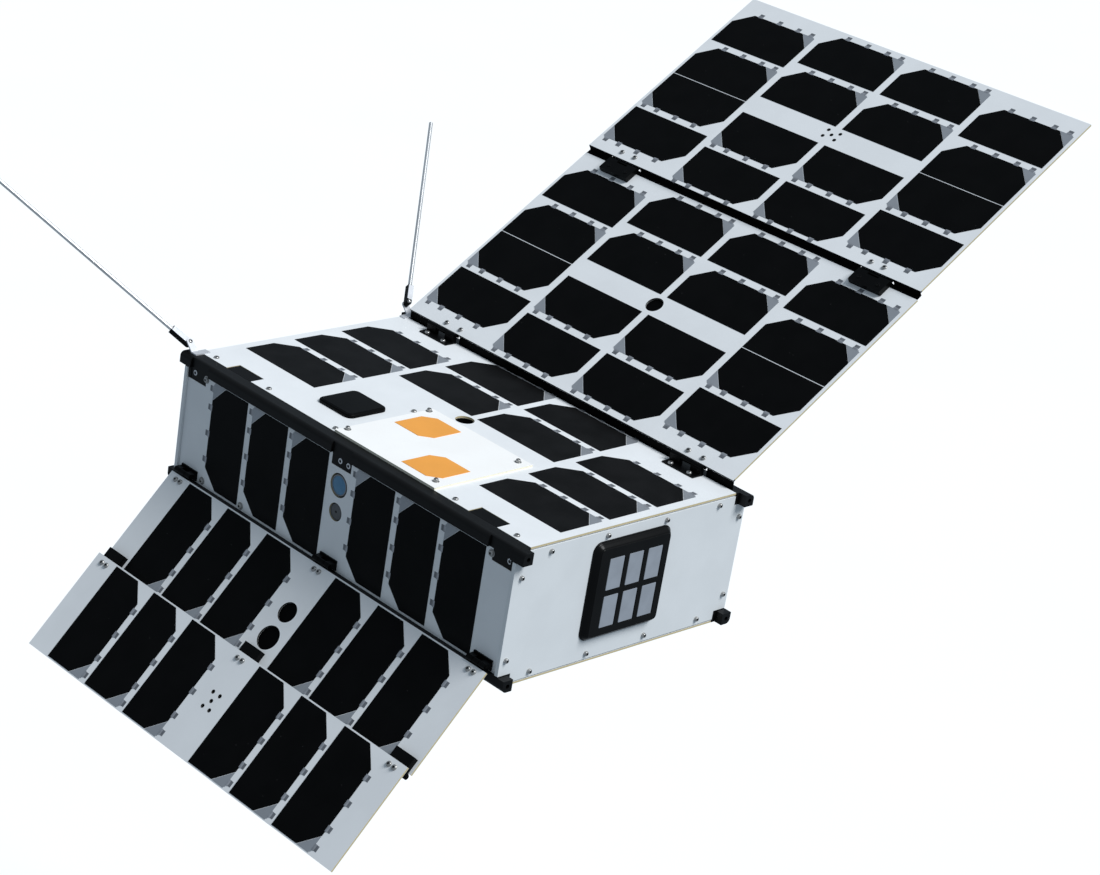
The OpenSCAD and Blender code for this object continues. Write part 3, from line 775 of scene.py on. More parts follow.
@dataclass(frozen=True)
class CellFittings:
    """What a cell needs beside its glass: a bypass diode in one clipped corner and four tabs.

    tab_reach is how far a tab runs past the cell's edge, tab_pitch the distance between three of
    the tabs, and diode_tab the fourth one's place from the middle. under is a tab's underside.
    """

    length: float = 79.4 * MM
    width: float = 39.4 * MM
    clip: float = 13.5 * MM
    tab_width: float = 4.7 * MM
    tab_reach: float = 3.9 * MM
    tab_pitch: float = 20.3 * MM
    diode_tab: float = 34.7 * MM
    tab_thick: float = 0.09 * MM
    under: float = 0.02 * MM
    foot_trim: float = 0.2 * MM
    diode_gap: float = 0.35 * MM
    diode_top: float = 0.2 * MM
    diode_corner: float = 1.2 * MM
    diode_inset: float = 1.0 * MM

    def tab(self, along: float) -> Shape:
        """One interconnect tab over the clipped long edge.

        Its section starts on the glass, humps over the edge and ends in a flat foot on the board.
        The loop and the foot overlap by one stretch, and the foot is a little narrower.

        Args:
            along: its place along the cell's edge, in metres.

        Returns:
            The tab in the cell's frame: material 0 is the foot, 1 the loop.
        """
        reach = np.array([-0.7, -0.3, 0.1, 0.5, 0.9, 1.3, 1.6, 1.6, self.tab_reach / MM]) * MM
        height = np.array([0.24, 0.27, 0.36, 0.40, 0.33, 0.2, 0.12, 0.12, 0.12]) * MM
        half = self.tab_width / 2
        made = Shape()
        for part, mark, trim in ((slice(0, 7), 1, 0.0), (slice(6, 9), 0, self.foot_trim)):
            y, z = self.width + reach[part], height[part]
            x = np.array([along - half + trim, along + half - trim])
            sheet = raised(np.stack(np.meshgrid(x, y, indexing="ij"), -1), z)
            made.grid(sheet, mark, False)
            under = raised(sheet[..., :2], np.minimum(z - self.tab_thick, self.under))
            made.grid(under[::-1], mark, False)
            rim = np.concatenate([sheet[0], sheet[1, ::-1]])
            low = np.concatenate([under[0], under[1, ::-1]])
            made.grid(np.stack([low, rim], 1), mark, False, close_u=True)
        return made

    def diode(self) -> Shape:
        """The three-sided diode in the far clipped corner, a little clear of the cell's edge."""
        far, top = self.length, self.width
        clear = self.clip - DIAGONAL_SHARE * self.diode_gap
        corner, inset = far - self.diode_corner, top - self.diode_inset
        outline = np.array(
            [(far - clear, top), (far, top - clear), (far, inset), (corner, inset), (corner, top)]
        )
        made = Shape()
        whole = tuple(range(len(outline)))
        low, high = raised(outline, self.under), raised(outline, self.diode_top)
        made.add(high, [whole], 2)
        made.add(low, [whole[::-1]], 2)
        made.grid(np.stack([low, high], 1), 2, False, close_u=True)
        return made

    def fit(self, frame: Frame3) -> Shape:
        """The tabs and diode of one cell whose frame starts at its straight edge."""
        made = Shape()
        for along in (-self.tab_pitch, 0.0, self.tab_pitch, self.diode_tab):
            made.take(self.tab(self.length / 2 + along))
        made.take(self.diode())
        return made.placed(frame)


@dataclass
class CellField:
    """The cells of one board: a CAD node of glass and the fittings round each cell.

    starts holds each cell's corner in the panel's frame, in mm, and its turn in degrees. shade
    darkens the glass as painted shade: the same cells are painted darker on the side faces and
    still darker on the wings than on the top.
    """

    node: str
    body: str
    panel: Frame3
    starts: list[Cell]
    fittings: CellFittings = field(default_factory=CellFittings)
    shade: float = 1.0

    def build(self, nodes: Nodes) -> None:
        """Adds the fittings and dresses the glass."""
        made = Shape()
        for x, y, turn in self.starts:
            made.take(self.fittings.fit(self.panel.moved(x * MM, y * MM).turned(turn)))
        piece(self.node.replace("_cells", "_interconnects"), made, self.body, (TAB_FOOT, TAB_LOOP, DIODE))
        glass = CellGlass(
            "glass_" + self.node, scaled(CELL_BLACK, self.shade), 0.5, specular=0.07, mottle=0.3,
            mottle_size=0.02, grain=0.000003, frame=self.panel, across=bool(self.starts[0][2] % 180),
        )
        dress(nodes, glass, self.node)


def mask(name: str, colour: Colour, frame: Frame3, top: float, **more: Any) -> Laminate:
    """A board's solder mask.

    Args:
        name: the finish's name.
        colour: of the mask.
        frame: of the board, z out of its cell side.
        top: height of its upper face in that frame, in metres.
        more: other values of the laminate.

    Returns:
        The finish.
    """
    return Laminate(name, colour, MASK_GLOSS, mottle=MASK_DRIFT, frame=frame, top=top, **more)


# ------------------------------------------------------------------ faces of the box

TOP = Frame3((0, 0, 0), (1, 0, 0), (0, 1, 0), (0, 0, 1))
BOTTOM = Frame3((0, 0, 0), (1, 0, 0), (0, -1, 0), (0, 0, -1))
NEAR = Frame3((0, 0, 0), (1, 0, 0), (0, 0, 1), (0, -1, 0))
FAR = Frame3((0, 0, 0), (-1, 0, 0), (0, 0, 1), (0, 1, 0))
FRONT = Frame3((0, 0, 0), (0, 1, 0), (0, 0, 1), (1, 0, 0))
REAR = Frame3((0, 0, 0), (0, -1, 0), (0, 0, 1), (-1, 0, 0))

# cells, in mm: where their columns and rows start and how far they lie apart
COLUMN_START = -168.55
COLUMN_PITCH = 85.9
ROW_PITCH = 45.35
CELL_L = 79.4
CELL_W = 39.4
BOARD_T = 1.6


@dataclass
class TopFace:
    """The white top board with ten cells, the patch antenna board and the positioning antenna.

    height is the board's face and rows the y of each column's cells. puck holds the positioning
    antenna's x, y, side and height. plate holds a hinge rest plate's half length, nearer and
    farther y, underside and top. All are in mm.
    """

    height: float = 50.2
    rows: tuple[tuple[float, ...], ...] = (
        (-61.8, -16.45, 28.9), (12.4, 57.75), (12.0, 57.35), (-64.0, -18.65, 26.7),
    )
    board_screws: tuple[Spot, ...] = (
        (-161.3, -94), (-99.8, -94.3), (-25.3, -94.6), (-26.2, -22.1), (99.3, -94.5), (159.4, -94.6),
    )
    patch_screws: tuple[Spot, ...] = ((-18.3, -89.8), (-19.8, -13.7), (74.1, -14.6), (74.1, -90))
    notches: tuple[float, ...] = (-130.0, 130.0)
    puck: tuple[float, float, float, float] = (-52, -57.5, 36, 3)
    plate: tuple[float, float, float, float, float] = (13.8, -97.9, -86.2, 48.4, 49.9)

    def build(self, nodes: Nodes) -> None:
        """Dresses the board and adds what stands on it."""
        level = self.height * MM
        starts = [
            (COLUMN_START + i * COLUMN_PITCH, y, 0.0) for i, column in enumerate(self.rows) for y in column
        ]
        CellField("top_cells", "bus", TOP.moved(0, 0, level), starts).build(nodes)
        dress(nodes, mask("top_mask", MASK_WHITE, TOP, level, grain=0.000003), "top_board")
        dress(nodes, mask("bottom_mask", MASK_WHITE, BOTTOM, level), "bottom_board")
        patch_top = level + BOARD_T * MM
        patch = Laminate(
            "patch_mask", PATCH_WHITE, 0.38, mottle=0.015, frame=TOP, top=patch_top, edge=PATCH_EDGE,
            grain=0.000002,
        )
        dress(nodes, patch, "patch_board")
        dress(nodes, ORANGE, "patch_elements")
        dress(nodes, BEZEL, "release_cup")
        dress(nodes, GREY_BLOCK, "equipment_block")
        heads = screws(TOP.moved(0, 0, level), self.board_screws, Head.BUTTON)
        heads.take(screws(TOP.moved(0, 0, patch_top), self.patch_screws, Head.CAP, washer=True))
        piece("top_board_screws", heads, "bus", HARDWARE)
        plates = Shape()
        half, y0, y1, z0, z1 = (v * MM for v in self.plate)
        for x in self.notches:
            plates.block((x * MM - half, y0, z0), (x * MM + half, y1, z1), 0.3 * MM)
        piece("hinge_rest_plates", plates, "bus", (BLACK_BLOCK,))
        puck = piece("positioning_puck", self.antenna(), "bus", (PUCK,))
        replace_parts(puck, "positioning_antenna")

    def antenna(self) -> Shape:
        """A square with round corners whose top edge is rounded and whose middle has a shallow step."""
        x, y, side, rise = (v * MM for v in self.puck)
        level, centre = self.height * MM, np.array([x, y])
        border, step = 3.6 * MM, 0.25 * MM
        made = Shape()
        outer = rounded_outline(side, side, 5 * MM, 6)
        made.pillow(outer, centre, level, level + rise - step, 1.1 * MM)
        inner = rounded_outline(side - border, side - border, border, 6)
        made.pillow(inner, centre, level + rise - step - 0.05 * MM, level + rise, 0.22 * MM)
        return made


PANE_PLAY = 0.5
PANE_SUNK = 0.25


@dataclass
class EndFaces:
    """The two white end plates, with the six-window unit on the front one.

    out is how far the plates' faces lie from the middle. bezel holds the window unit's centre y
    and z, its width and its height, and bezel_out how far it stands out. All are in mm.
    """

    out: float = 176.5
    screw_places: tuple[Spot, ...] = (
        (-78.7, 43.7), (-26.7, 44.2), (29.7, 44), (82.1, 44.2), (105, 31.2), (104.3, -28.8),
        (80.2, -42.8), (27.2, -42.8), (-28.4, -43.2), (-81, -43.4), (-104.5, -29.9), (-102.5, 29.5),
    )
    bezel: tuple[float, float, float, float] = (-1.7, 3.8, 73.5, 73)
    bezel_out: float = 5.0
    window: tuple[float, float] = (14.0, 24.0)
    pitch: tuple[float, float] = (18.3, 28.0)
    window_centre: tuple[float, float] = (0.0, 2.5)
    lip: float = 0.45

    def build(self, nodes: Nodes) -> None:
        """Dresses the plates and adds the screws and the window unit."""
        dress(nodes, PLATE_WHITE, "front_end_plate", "rear_end_plate")
        front, rear = (face.moved(0, 0, self.out * MM) for face in (FRONT, REAR))
        heads = screws(front, self.screw_places, Head.CAP)
        piece("front_plate_screws", heads, "bus", HARDWARE)
        clear_of_whips = [(x, z) for x, z in self.screw_places if abs(x) < 95 or z < 0]
        heads = screws(rear, clear_of_whips, Head.CAP)
        piece("rear_plate_screws", heads, "bus", HARDWARE)
        unit = self.window_unit().placed(front)
        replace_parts(piece("window_unit", unit, "bus", (BEZEL,)), "window_bezel")
        glass = self.panes().placed(front)
        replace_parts(piece("window_glass", glass, "bus", (PANE,)), "window_panes")

    def window_unit(self) -> Shape:
        """A moulded frame: rounded foot, sloping sides, raised plateau and six openings."""
        made = Shape()
        plateau = self.sides(made)
        top = self.bezel_out * MM
        (ww, wh), (py, pz), (cy, cz) = self.window, self.pitch, self.window_centre
        half_y, half_z = ww / 2 + self.lip, wh / 2 + self.lip
        low = np.array([cy - py - half_y, cz - pz / 2 - half_z]) * MM
        high = np.array([cy + py + half_y, cz + pz / 2 + half_z]) * MM
        face = np.stack([plateau, np.clip(plateau, low, high)], 1)
        made.grid(raised(face, top), 0, False, close_u=True)
        ys = [cy + i * py + side * half_y for i in (-1, 0, 1) for side in (-1, 1)]
        zs = [cz + j * pz / 2 + side * half_z for j in (-1, 1) for side in (-1, 1)]
        bars = [(ys[1], ys[2], zs[0], zs[3]), (ys[3], ys[4], zs[0], zs[3])]
        bars += [(ys[2 * i], ys[2 * i + 1], zs[1], zs[2]) for i in range(3)]
        for y0, y1, z0, z1 in bars:
            corners = np.array([[y0, z0], [y1, z0], [y1, z1], [y0, z1]]) * MM
            made.add(raised(corners, top), [(0, 1, 2, 3)])
        square = np.array([[-1, -1], [1, -1], [1, 1], [-1, 1]]) * [half_y, half_z] * MM
        for centre in self.window_places():
            self.opening(made, centre, square + centre, top)
        return made

    def sides(self, made: Shape) -> Array:
        """Adds the window unit's outer sides.

        After a foot that rounds over by a quarter circle, the side rises with inset
        0.9 + 2.6 t^1.3 and height 1.2 + 3.2 t over t from 0 to 1, in mm, and a quarter circle of
        radius 0.6 leads on to the plateau.

        Args:
            made: the shape to add to.

        Returns:
            The plateau's outline, n by 2.
        """
        y, z, width, height = self.bezel
        t = np.linspace(0, 1, 6)
        foot = np.linspace(0, math.pi / 2, 4)
        bend = foot[1:]
        foot_in, foot_up = 0.7 * (1 - np.cos(foot)), 0.4 + 0.7 * np.sin(foot)
        bend_in, bend_up = 3.5 + 0.6 * np.sin(bend), 4.4 + 0.6 * (1 - np.cos(bend))
        insets = np.concatenate([[0.0], foot_in, 0.9 + 2.6 * t ** 1.3, bend_in])
        levels = np.concatenate([[0.0], foot_up, 1.2 + 3.2 * t, bend_up])
        levels = np.minimum(levels, self.bezel_out) * MM
        outline = rounded_outline(width * MM, height * MM, 7 * MM, 8)
        inward = inset_directions(outline)
        rings = outline[None] + insets[:, None, None] * MM * inward[None] + np.array([y, z]) * MM
        made.grid(raised(rings, levels[:, None]).transpose(1, 0, 2), close_u=True)
        return rings[-1]

    def window_places(self) -> list[Array]:
        """Centres of the six windows on the front face, in metres."""
        (py, pz), (cy, cz) = self.pitch, self.window_centre
        return [np.array([cy + i * py, cz + j * pz / 2]) * MM for i in (-1, 0, 1) for j in (-1, 1)]

    def opening(self, made: Shape, centre: Array, square: Array, top: float) -> None:
        """Adds one opening: its rounded lip, its wall and the plateau at its corners.

        Args:
            made: the shape to add to.
            centre: of the opening, in metres.
            square: the four corners of the part of the plateau that holds it.
            top: height of the plateau.
        """
        lip = self.lip
        steps = np.array([(lip, 0.0), (lip * 0.3, -0.13), (0.0, -0.45), (0.0, -4.0)]) * MM
        ring = rounded_outline(self.window[0] * MM, self.window[1] * MM, 0.8 * MM, 3) + centre
        wall = ring[:, None] - steps[None, :, :1] * inset_directions(ring)[:, None]
        made.grid(raised(wall, top + steps[:, 1]), close_u=True)
        self.fill_corners(made, square, wall[:, 0], top)

    def panes(self) -> Shape:
        """Six glass panes almost level with the plateau, each with a fine round edge."""
        made = Shape()
        width, height = ((side - PANE_PLAY) * MM for side in self.window)
        for centre in self.window_places():
            outline = rounded_outline(width, height, 0.6 * MM, 3)
            made.pillow(outline, centre, 1.0 * MM, (self.bezel_out - PANE_SUNK) * MM, 0.25 * MM)
        return made

    @staticmethod
    def fill_corners(made: Shape, corners: Array, ring: Array, level: float) -> None:
        """Fills the plateau between an opening's round corners and the square that holds it.

        Args:
            made: the shape to add to.
            corners: the square's four corners, anticlockwise.
            ring: the opening's outline.
            level: height of the plateau.
        """
        for corner in corners:
            arc = ring[np.argsort(np.linalg.norm(ring - corner, axis=1))[:4]]
            middle = ring.mean(0)
            turn = np.arctan2(*(arc - middle).T[::-1])
            arc = arc[np.argsort(np.mod(turn - np.arctan2(*(corner - middle)[::-1]) + math.pi, 2 * math.pi))]
            fan = np.vstack([corner, arc[::-1]])
            made.add(raised(fan, level), [tuple(range(len(fan)))[::-1]])


# a sensor's groove and pit, in mm below the board's face, and its clearance in the bore
GROOVE_FLOOR = -1.9
PIT_FLOOR = -5.5
BORE_CLEAR = 0.1
SENSOR_TURNS = 40


@dataclass
class SideFaces:
    """The two thin side boards, each with six standing cells, and the near one's two sensors.

    face is how far the boards' faces lie from the middle, starts the cells' x and shift what
    their corners add to it. sun and eye hold a sensor's height and the radius of its bore, and
    tab_face is the face of the rail tabs. All are in mm.
    """

    face: float = 107.75
    starts: tuple[float, ...] = (-145.1, -99.75, -54.4, 15.0, 60.35, 105.7)
    shift: float = 1.6
    near_screws: tuple[Spot, ...] = ((-165.9, 39.1), (-1.4, 38.2), (7.2, 38), (169.2, 39.1))
    board_screws: tuple[Spot, ...] = ((152.2, 37.6), (-152.6, 38.8), (-145.3, -37.6), (-99.5, -37.9))
    sun: tuple[float, float] = (20.5, 8.8)
    eye: tuple[float, float] = (0.5, 6.6)
    tab_face: float = 107.95

    def build(self, nodes: Nodes) -> None:
        """Dresses both boards and adds the interconnects, screws and sensors."""
        level = self.face * MM
        near = [(x + CELL_W + self.shift, -CELL_L / 2 + 0.2, 90.0) for x in self.starts]
        far = [(-(x + CELL_W + self.shift), CELL_L / 2 + 0.2, -90.0) for x in self.starts]
        # painted shade: the side cells' glass is painted darker than the top cells'
        CellField("near_side_cells", "bus", NEAR.moved(0, 0, level), near, shade=0.35).build(nodes)
        CellField("far_side_cells", "bus", FAR.moved(0, 0, level), far, shade=0.35).build(nodes)
        dress(nodes, mask("near_mask", MASK_WHITE, NEAR, level), "near_side_board")
        dress(nodes, mask("far_mask", MASK_WHITE, FAR, level), "far_side_board")
        # painted shade: the flat heads' shallow sockets take the black bezel finish
        rings = screws(NEAR.moved(0, 0, self.tab_face * MM), self.near_screws, Head.FLAT)
        piece("rail_tab_screws", rings, "bus", (PLATE_SILVER, BEZEL))
        heads = screws(NEAR.moved(0, 0, level), self.board_screws, Head.BUTTON, washer=True)
        heads.take(screws(FAR.moved(0, 0, level), self.board_screws, Head.BUTTON, washer=True))
        piece("side_board_screws", heads, "bus", HARDWARE)
        sun = self.sensor(self.sun[0], (6.7, 7.7, self.sun[1] - BORE_CLEAR), -0.45, 0.35)
        unit = piece("sun_sensor_unit", sun, "bus", (BLUE_GLASS, FILTER_RIM, BEZEL))
        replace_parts(unit, "sun_sensor")
        eye = self.sensor(self.eye[0], (5.2, 5.7, self.eye[1] - BORE_CLEAR), -0.7, 0.05)
        dot = Shape()
        pupil = [(0, -0.58 * MM), (0.85 * MM, -0.58 * MM), (1.0 * MM, -0.72 * MM)]
        dot.lathe(pupil, (0, self.eye[0] * MM, self.face * MM), mark=2)
        eye.take(dot.placed(NEAR))
        unit = piece("star_eye_unit", eye, "bus", (EYE_GREY, EYE_GREY, BEZEL))
        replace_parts(unit, "star_eye")

    def sensor(self, z: float, radii: tuple[float, float, float], level: float, rise: float) -> Shape:
        """A turned sensor head set a little below the board inside a dark groove.

        The glass is a dome of height level + rise*(1 - (r/R)^2); a rim rounds over it, its
        section half an ellipse, and a flat groove lies outside.

        Args:
            z: height of the centre on the side face, in mm.
            radii: of the glass, the rim and the bore, in mm.
            level: height of the glass's edge over the board, in mm.
            rise: how far the glass bulges, in mm.

        Returns:
            The shape: material 0 is the glass, 1 the rim, 2 the groove.
        """
        glass, rim, bore = radii
        centre = (0, z * MM, self.face * MM)
        r = np.linspace(0, glass, 7)
        dome = np.stack([r, level + rise * (1 - (r / glass) ** 2)], -1)
        t = np.linspace(math.pi, 0, 7)
        middle, half = (glass + rim) / 2, (rim - glass) / 2
        edge = np.stack([middle + half * np.cos(t), level + 0.15 + 0.25 * np.sin(t)], -1)
        ring = np.vstack([(glass, level - 0.1), edge, (rim, GROOVE_FLOOR)])
        pit = np.array([(rim, GROOVE_FLOOR), (bore, GROOVE_FLOOR), (bore, PIT_FLOOR), (0.1, PIT_FLOOR)])
        made = Shape()
        made.lathe(dome * MM, centre, SENSOR_TURNS)
        made.lathe(ring * MM, centre, SENSOR_TURNS, 1, close=False)
        made.lathe(pit * MM, centre, SENSOR_TURNS, 2, smooth=False, close=False)
        return made.placed(NEAR)


@dataclass
class Rails:
    """The four black corner rails and the square foot blocks at their ends."""

    names: tuple[str, ...] = ("rail_top_near", "rail_top_far", "rail_bottom_near", "rail_bottom_far")

    def build(self, nodes: Nodes) -> None:
        """Dresses the rails with satin black anodising, drawn along their length."""
        dress(nodes, RAIL_BLACK, *self.names)


# ------------------------------------------------------------------ wings

# in mm: heights of boards and of painted-shade sheets in a wing's frame, the upper hinges' x, and the
# painted-shade strips between them
INNER_TOP = -0.7
INNER_SHADE_SHEET = -2.32
SHADE_SHEET_GAP = 0.02
UPPER_HINGES = (-130.0, 130.0)
GAP_SHADE_SPANS = ((-171.0, -145.7), (-114.3, 114.3), (145.7, 171.0))


@dataclass
class WingPanel:
    """One solar panel: its board, its cells and the screws of its hinges.

    board_top, starts and screw_places are in mm in the frame; bores and the limit below which the
    board's cut edges get painted shade are in metres, as the board's finish takes them.
    """

    name: str
    body: str
    frame: Frame3
    board_top: float
    starts: list[Cell]
    screw_places: list[Spot]
    bores: tuple[tuple[float, float, float], ...] = ()
    dark_below: float = -1.0

    def build(self, nodes: Nodes) -> None:
        """Dresses the board and adds the interconnects and hinge screws."""
        level = self.board_top * MM
        face = self.frame.moved(0, 0, level)
        # painted shade: the wing cells' glass is painted darker than the top cells'
        CellField(self.name + "_cells", self.body, face, self.starts, shade=0.22).build(nodes)
        board = mask(
            self.name + "_mask", MASK_WHITE, self.frame, level, grain=0.000003, bores=self.bores,
            dark_below=self.dark_below,
        )
        dress(nodes, board, self.name + "_board")
        heads = screws(face, self.screw_places, Head.BUTTON)
        piece(self.name + "_screws", heads, self.body, HARDWARE)


@dataclass
class UpperWing:
    """The large wing over the far side: two panels of sixteen cells each.

    strips is half the gap between the straight edges of each column's middle cells, and outer_top
    the height of the outer board's face. Both are in mm.
    """

    frame: Frame3 = wing_frame((0, 95.4 * MM, 56.5 * MM), 33.4, False)
    strips: tuple[float, ...] = (0.4, 10.3, 10.3, 0.4)
    outer_top: float = 3.55

    def starts(self, middle: float) -> list[Cell]:
        """Cell corners of one panel: pairs of straight edges face each other across its middle."""
        places = []
        for i, start in enumerate(self.strips):
            x = COLUMN_START + i * COLUMN_PITCH
            for k in (0, 1):
                places.append((x, middle + start + k * ROW_PITCH, 0.0))
                places.append((x + CELL_L, middle - start - k * ROW_PITCH, 180.0))
        return places

    def build(self, nodes: Nodes) -> None:
        """Builds both panels and dresses the hinges."""
        inner_screws = [(x, 7.4) for x in (-132.6, -116.8, 124.1, 138.6)]
        outer_screws = [(x, 214.5) for x in (-139.4, -125.3, 119.6, 132.1)]
        # painted shade darkens the inner board's root edge and the outer board's edge at the fold
        WingPanel(
            "upper_inner", "upper_inner_wing", self.frame, INNER_TOP, self.starts(103.25), inner_screws,
            bores=((0.0, 103.25 * MM, 8 * MM),), dark_below=4.5 * MM,
        ).build(nodes)
        WingPanel(
            "upper_outer", "upper_outer_wing", self.frame, self.outer_top, self.starts(307.0), outer_screws,
            bores=((0.0, 308.5 * MM, 9.5 * MM),), dark_below=209.6 * MM,
        ).build(nodes)
        names = ("upper_root_brackets", "upper_root_leaves", "upper_fold_blocks", "upper_fold_leaves")
        dress(nodes, BLACK_BLOCK, *names)
        heads = screws(TOP.moved(0, 0, 51.4 * MM), self.pairs(88.9), Head.BUTTON)
        piece("upper_bracket_screws", heads, "bus", HARDWARE)
        self.gap_shades()
        heads = screws(self.frame.moved(0, 0, 3.7 * MM), self.pairs(198.3), Head.FLAT)
        piece("upper_block_screws", heads, "upper_inner_wing", (BLACK_BLOCK, BEZEL))

    @staticmethod
    def pairs(y: float) -> list[Spot]:
        """Places of the two screws at each hinge, in mm."""
        return [(x + side * 9.0, y) for x in UPPER_HINGES for side in (-1, 1)]

    def gap_shades(self) -> None:
        """Adds black strips of painted shade along both hinge lines and dark sheets of painted shade behind
        the round holes.
        """
        gap_shade, lip, root = Shape(), Shape(), Shape()
        for x0, x1 in GAP_SHADE_SPANS:
            # painted shade: black strips fill the fold gap and the root gap, and a black wall covers the
            # outer board's edge at the fold
            gap_shade.block((x0 * MM, 203.4 * MM, -1.1 * MM), (x1 * MM, 207.85 * MM, -0.7 * MM))
            lip.block((x0 * MM, 208.0 * MM, -1.0 * MM), (x1 * MM, 208.4 * MM, 3.4 * MM))
            root.block((x0 * MM, 99.6 * MM, 49.9 * MM), (x1 * MM, 100.0 * MM, 56.2 * MM))
        gap_shade.take(shade_sheets([(0.0, 103.25, 9.0, 9.0)], INNER_SHADE_SHEET))
        shade_sheet = shade_sheets([(0.0, 308.5, 9.5, 7.5)], self.outer_top - BOARD_T - SHADE_SHEET_GAP)
        piece("upper_fold_gap_shade", gap_shade.placed(self.frame), "upper_inner_wing", (SHADE_SHEET,))
        piece("upper_fold_shade_lip", lip.placed(self.frame), "upper_outer_wing", (SHADE_SHEET,))
        piece("upper_root_gap_shade", root, "bus", (SHADE_SHEET,))
        piece("upper_hole_shade_sheet", shade_sheet.placed(self.frame), "upper_outer_wing", (SHADE_SHEET,))


@dataclass
class LowerWing:
    """The narrow wing below the near side: two panels of six cells each.

    strip is half the gap in the middle of a row of cells, hinges the hinges' x and outer_top the
    height of the outer board's face. All are in mm.
    """

    frame: Frame3 = wing_frame((0, -113.65 * MM, -36.2 * MM), 48.3, True)
    strip: float = 18.3
    hinges: tuple[float, ...] = (-160.0, 0.0, 160.0)
    outer_top: float = 6.6

    def starts(self, edge: float) -> list[Cell]:
        """Cell corners of one panel: the cells run outwards, clipped towards the front end."""
        left = [-self.strip - i * ROW_PITCH for i in (2, 1, 0)]
        right = [self.strip + CELL_W + i * ROW_PITCH for i in range(3)]
        return [(x, edge + 1.1, 90.0) for x in left + right]

    def build(self, nodes: Nodes) -> None:
        """Builds both panels and dresses the hinges."""
        inner_screws, outer_screws = self.pairs(7.2), self.pairs(87.0)
        WingPanel(
            "lower_inner", "lower_inner_wing", self.frame, INNER_TOP, self.starts(3.0), inner_screws,
            bores=((-2 * MM, 63.5 * MM, 10.2 * MM), (-2 * MM, 42 * MM, 8.8 * MM)),
        ).build(nodes)
        WingPanel(
            "lower_outer", "lower_outer_wing", self.frame, self.outer_top, self.starts(82.0), outer_screws,
            bores=((-2 * MM, 121 * MM, 9.5 * MM),),
        ).build(nodes)
        # painted shade: dark sheets behind the inner and outer boards' holes
        holes = shade_sheets([(-2.0, 63.5, 11.0, 11.0), (-2.0, 42.0, 9.6, 9.6)], INNER_SHADE_SHEET)
        piece("lower_hole_shade_sheet", holes.placed(self.frame), "lower_inner_wing", (SHADE_SHEET,))
        shade_sheet = shade_sheets([(-2.0, 121.0, 7.5, 9.5)], self.outer_top - BOARD_T - SHADE_SHEET_GAP)
        piece("lower_outer_hole_shade_sheet", shade_sheet.placed(self.frame), "lower_outer_wing", (SHADE_SHEET,))
        names = ("lower_root_brackets", "lower_root_leaves", "lower_fold_blocks", "lower_fold_leaves")
        dress(nodes, BLACK_BLOCK, *names)

    def pairs(self, y: float) -> list[Spot]:
        """Places of the two screws at each hinge, in mm."""
        return [(x + side * 2.6, y) for x in self.hinges for side in (-1, 1)]


# ------------------------------------------------------------------ whips


@dataclass
class Whips:
    """The two whip antennas at the rear end with their bent steel brackets.

    lean is a rod's angle outwards in its own plane, tilt the plane's angle from upright, both in
    degrees; pivot is the far whip's pivot and covers the cover plates' undersides, in mm.
    """

    lean: float = 34.3
    tilt: float = 47.2
    pivot: tuple[float, float, float] = (-180.5, 103.0, 58.0)
    covers: tuple[tuple[int, str, float], ...] = ((-1, "near", -2.8), (1, "far", 3.2))

    def frame(self, side: int) -> Frame3:
        """The pivot frame of a whip: z along the pivot axis, x along the open rod.

        Args:
            side: 1 for the far whip, -1 for the near one.

        Returns:
            The frame at rest, in the row frame.
        """
        up = np.array([-math.sin(math.radians(self.tilt)), 0, math.cos(math.radians(self.tilt))])
        axis = np.array([math.cos(math.radians(self.tilt)), 0, math.sin(math.radians(self.tilt))])
        across = np.array([0.0, side, 0.0])
        lean = math.radians(self.lean)
        along = math.cos(lean) * up + math.sin(lean) * across
        x, y, z = self.pivot
        place = (x * MM, side * y * MM, z * MM)
        return Frame3(place, tuple(along), tuple(np.cross(axis, along)), tuple(axis))

    def build(self, nodes: Nodes) -> None:
        """Dresses the arms, rods and brackets, and adds the cover plates and pivot screws."""
        for side, label, high in self.covers:
            frame, body = self.frame(side), label + "_whip"
            rod = Brushed(label + "_rod_steel", ROD_STEEL, 0.3, metallic=0.9, mottle=0.08, axis=frame.x)
            dress(nodes, rod, body + "_rod")
            dress(nodes, BLACK_BLOCK, body + "_arm")
            dress(nodes, PLATE_SILVER, body + "_bracket")
            cover = Shape()
            cover.block((2.4 * MM, -2.1 * MM, high * MM), (15.6 * MM, 2.1 * MM, (high + 0.5) * MM), 0.2 * MM)
            piece(body + "_cover", cover.placed(frame), body, (PLATE_SILVER,))
            head = screw(frame.moved(0, 0, high * MM), Head.CAP)
            piece(label + "_pivot_screw", head, body, HARDWARE)
        dress(nodes, BLACK_BLOCK, "whip_cradle")


# ------------------------------------------------------------------ studio


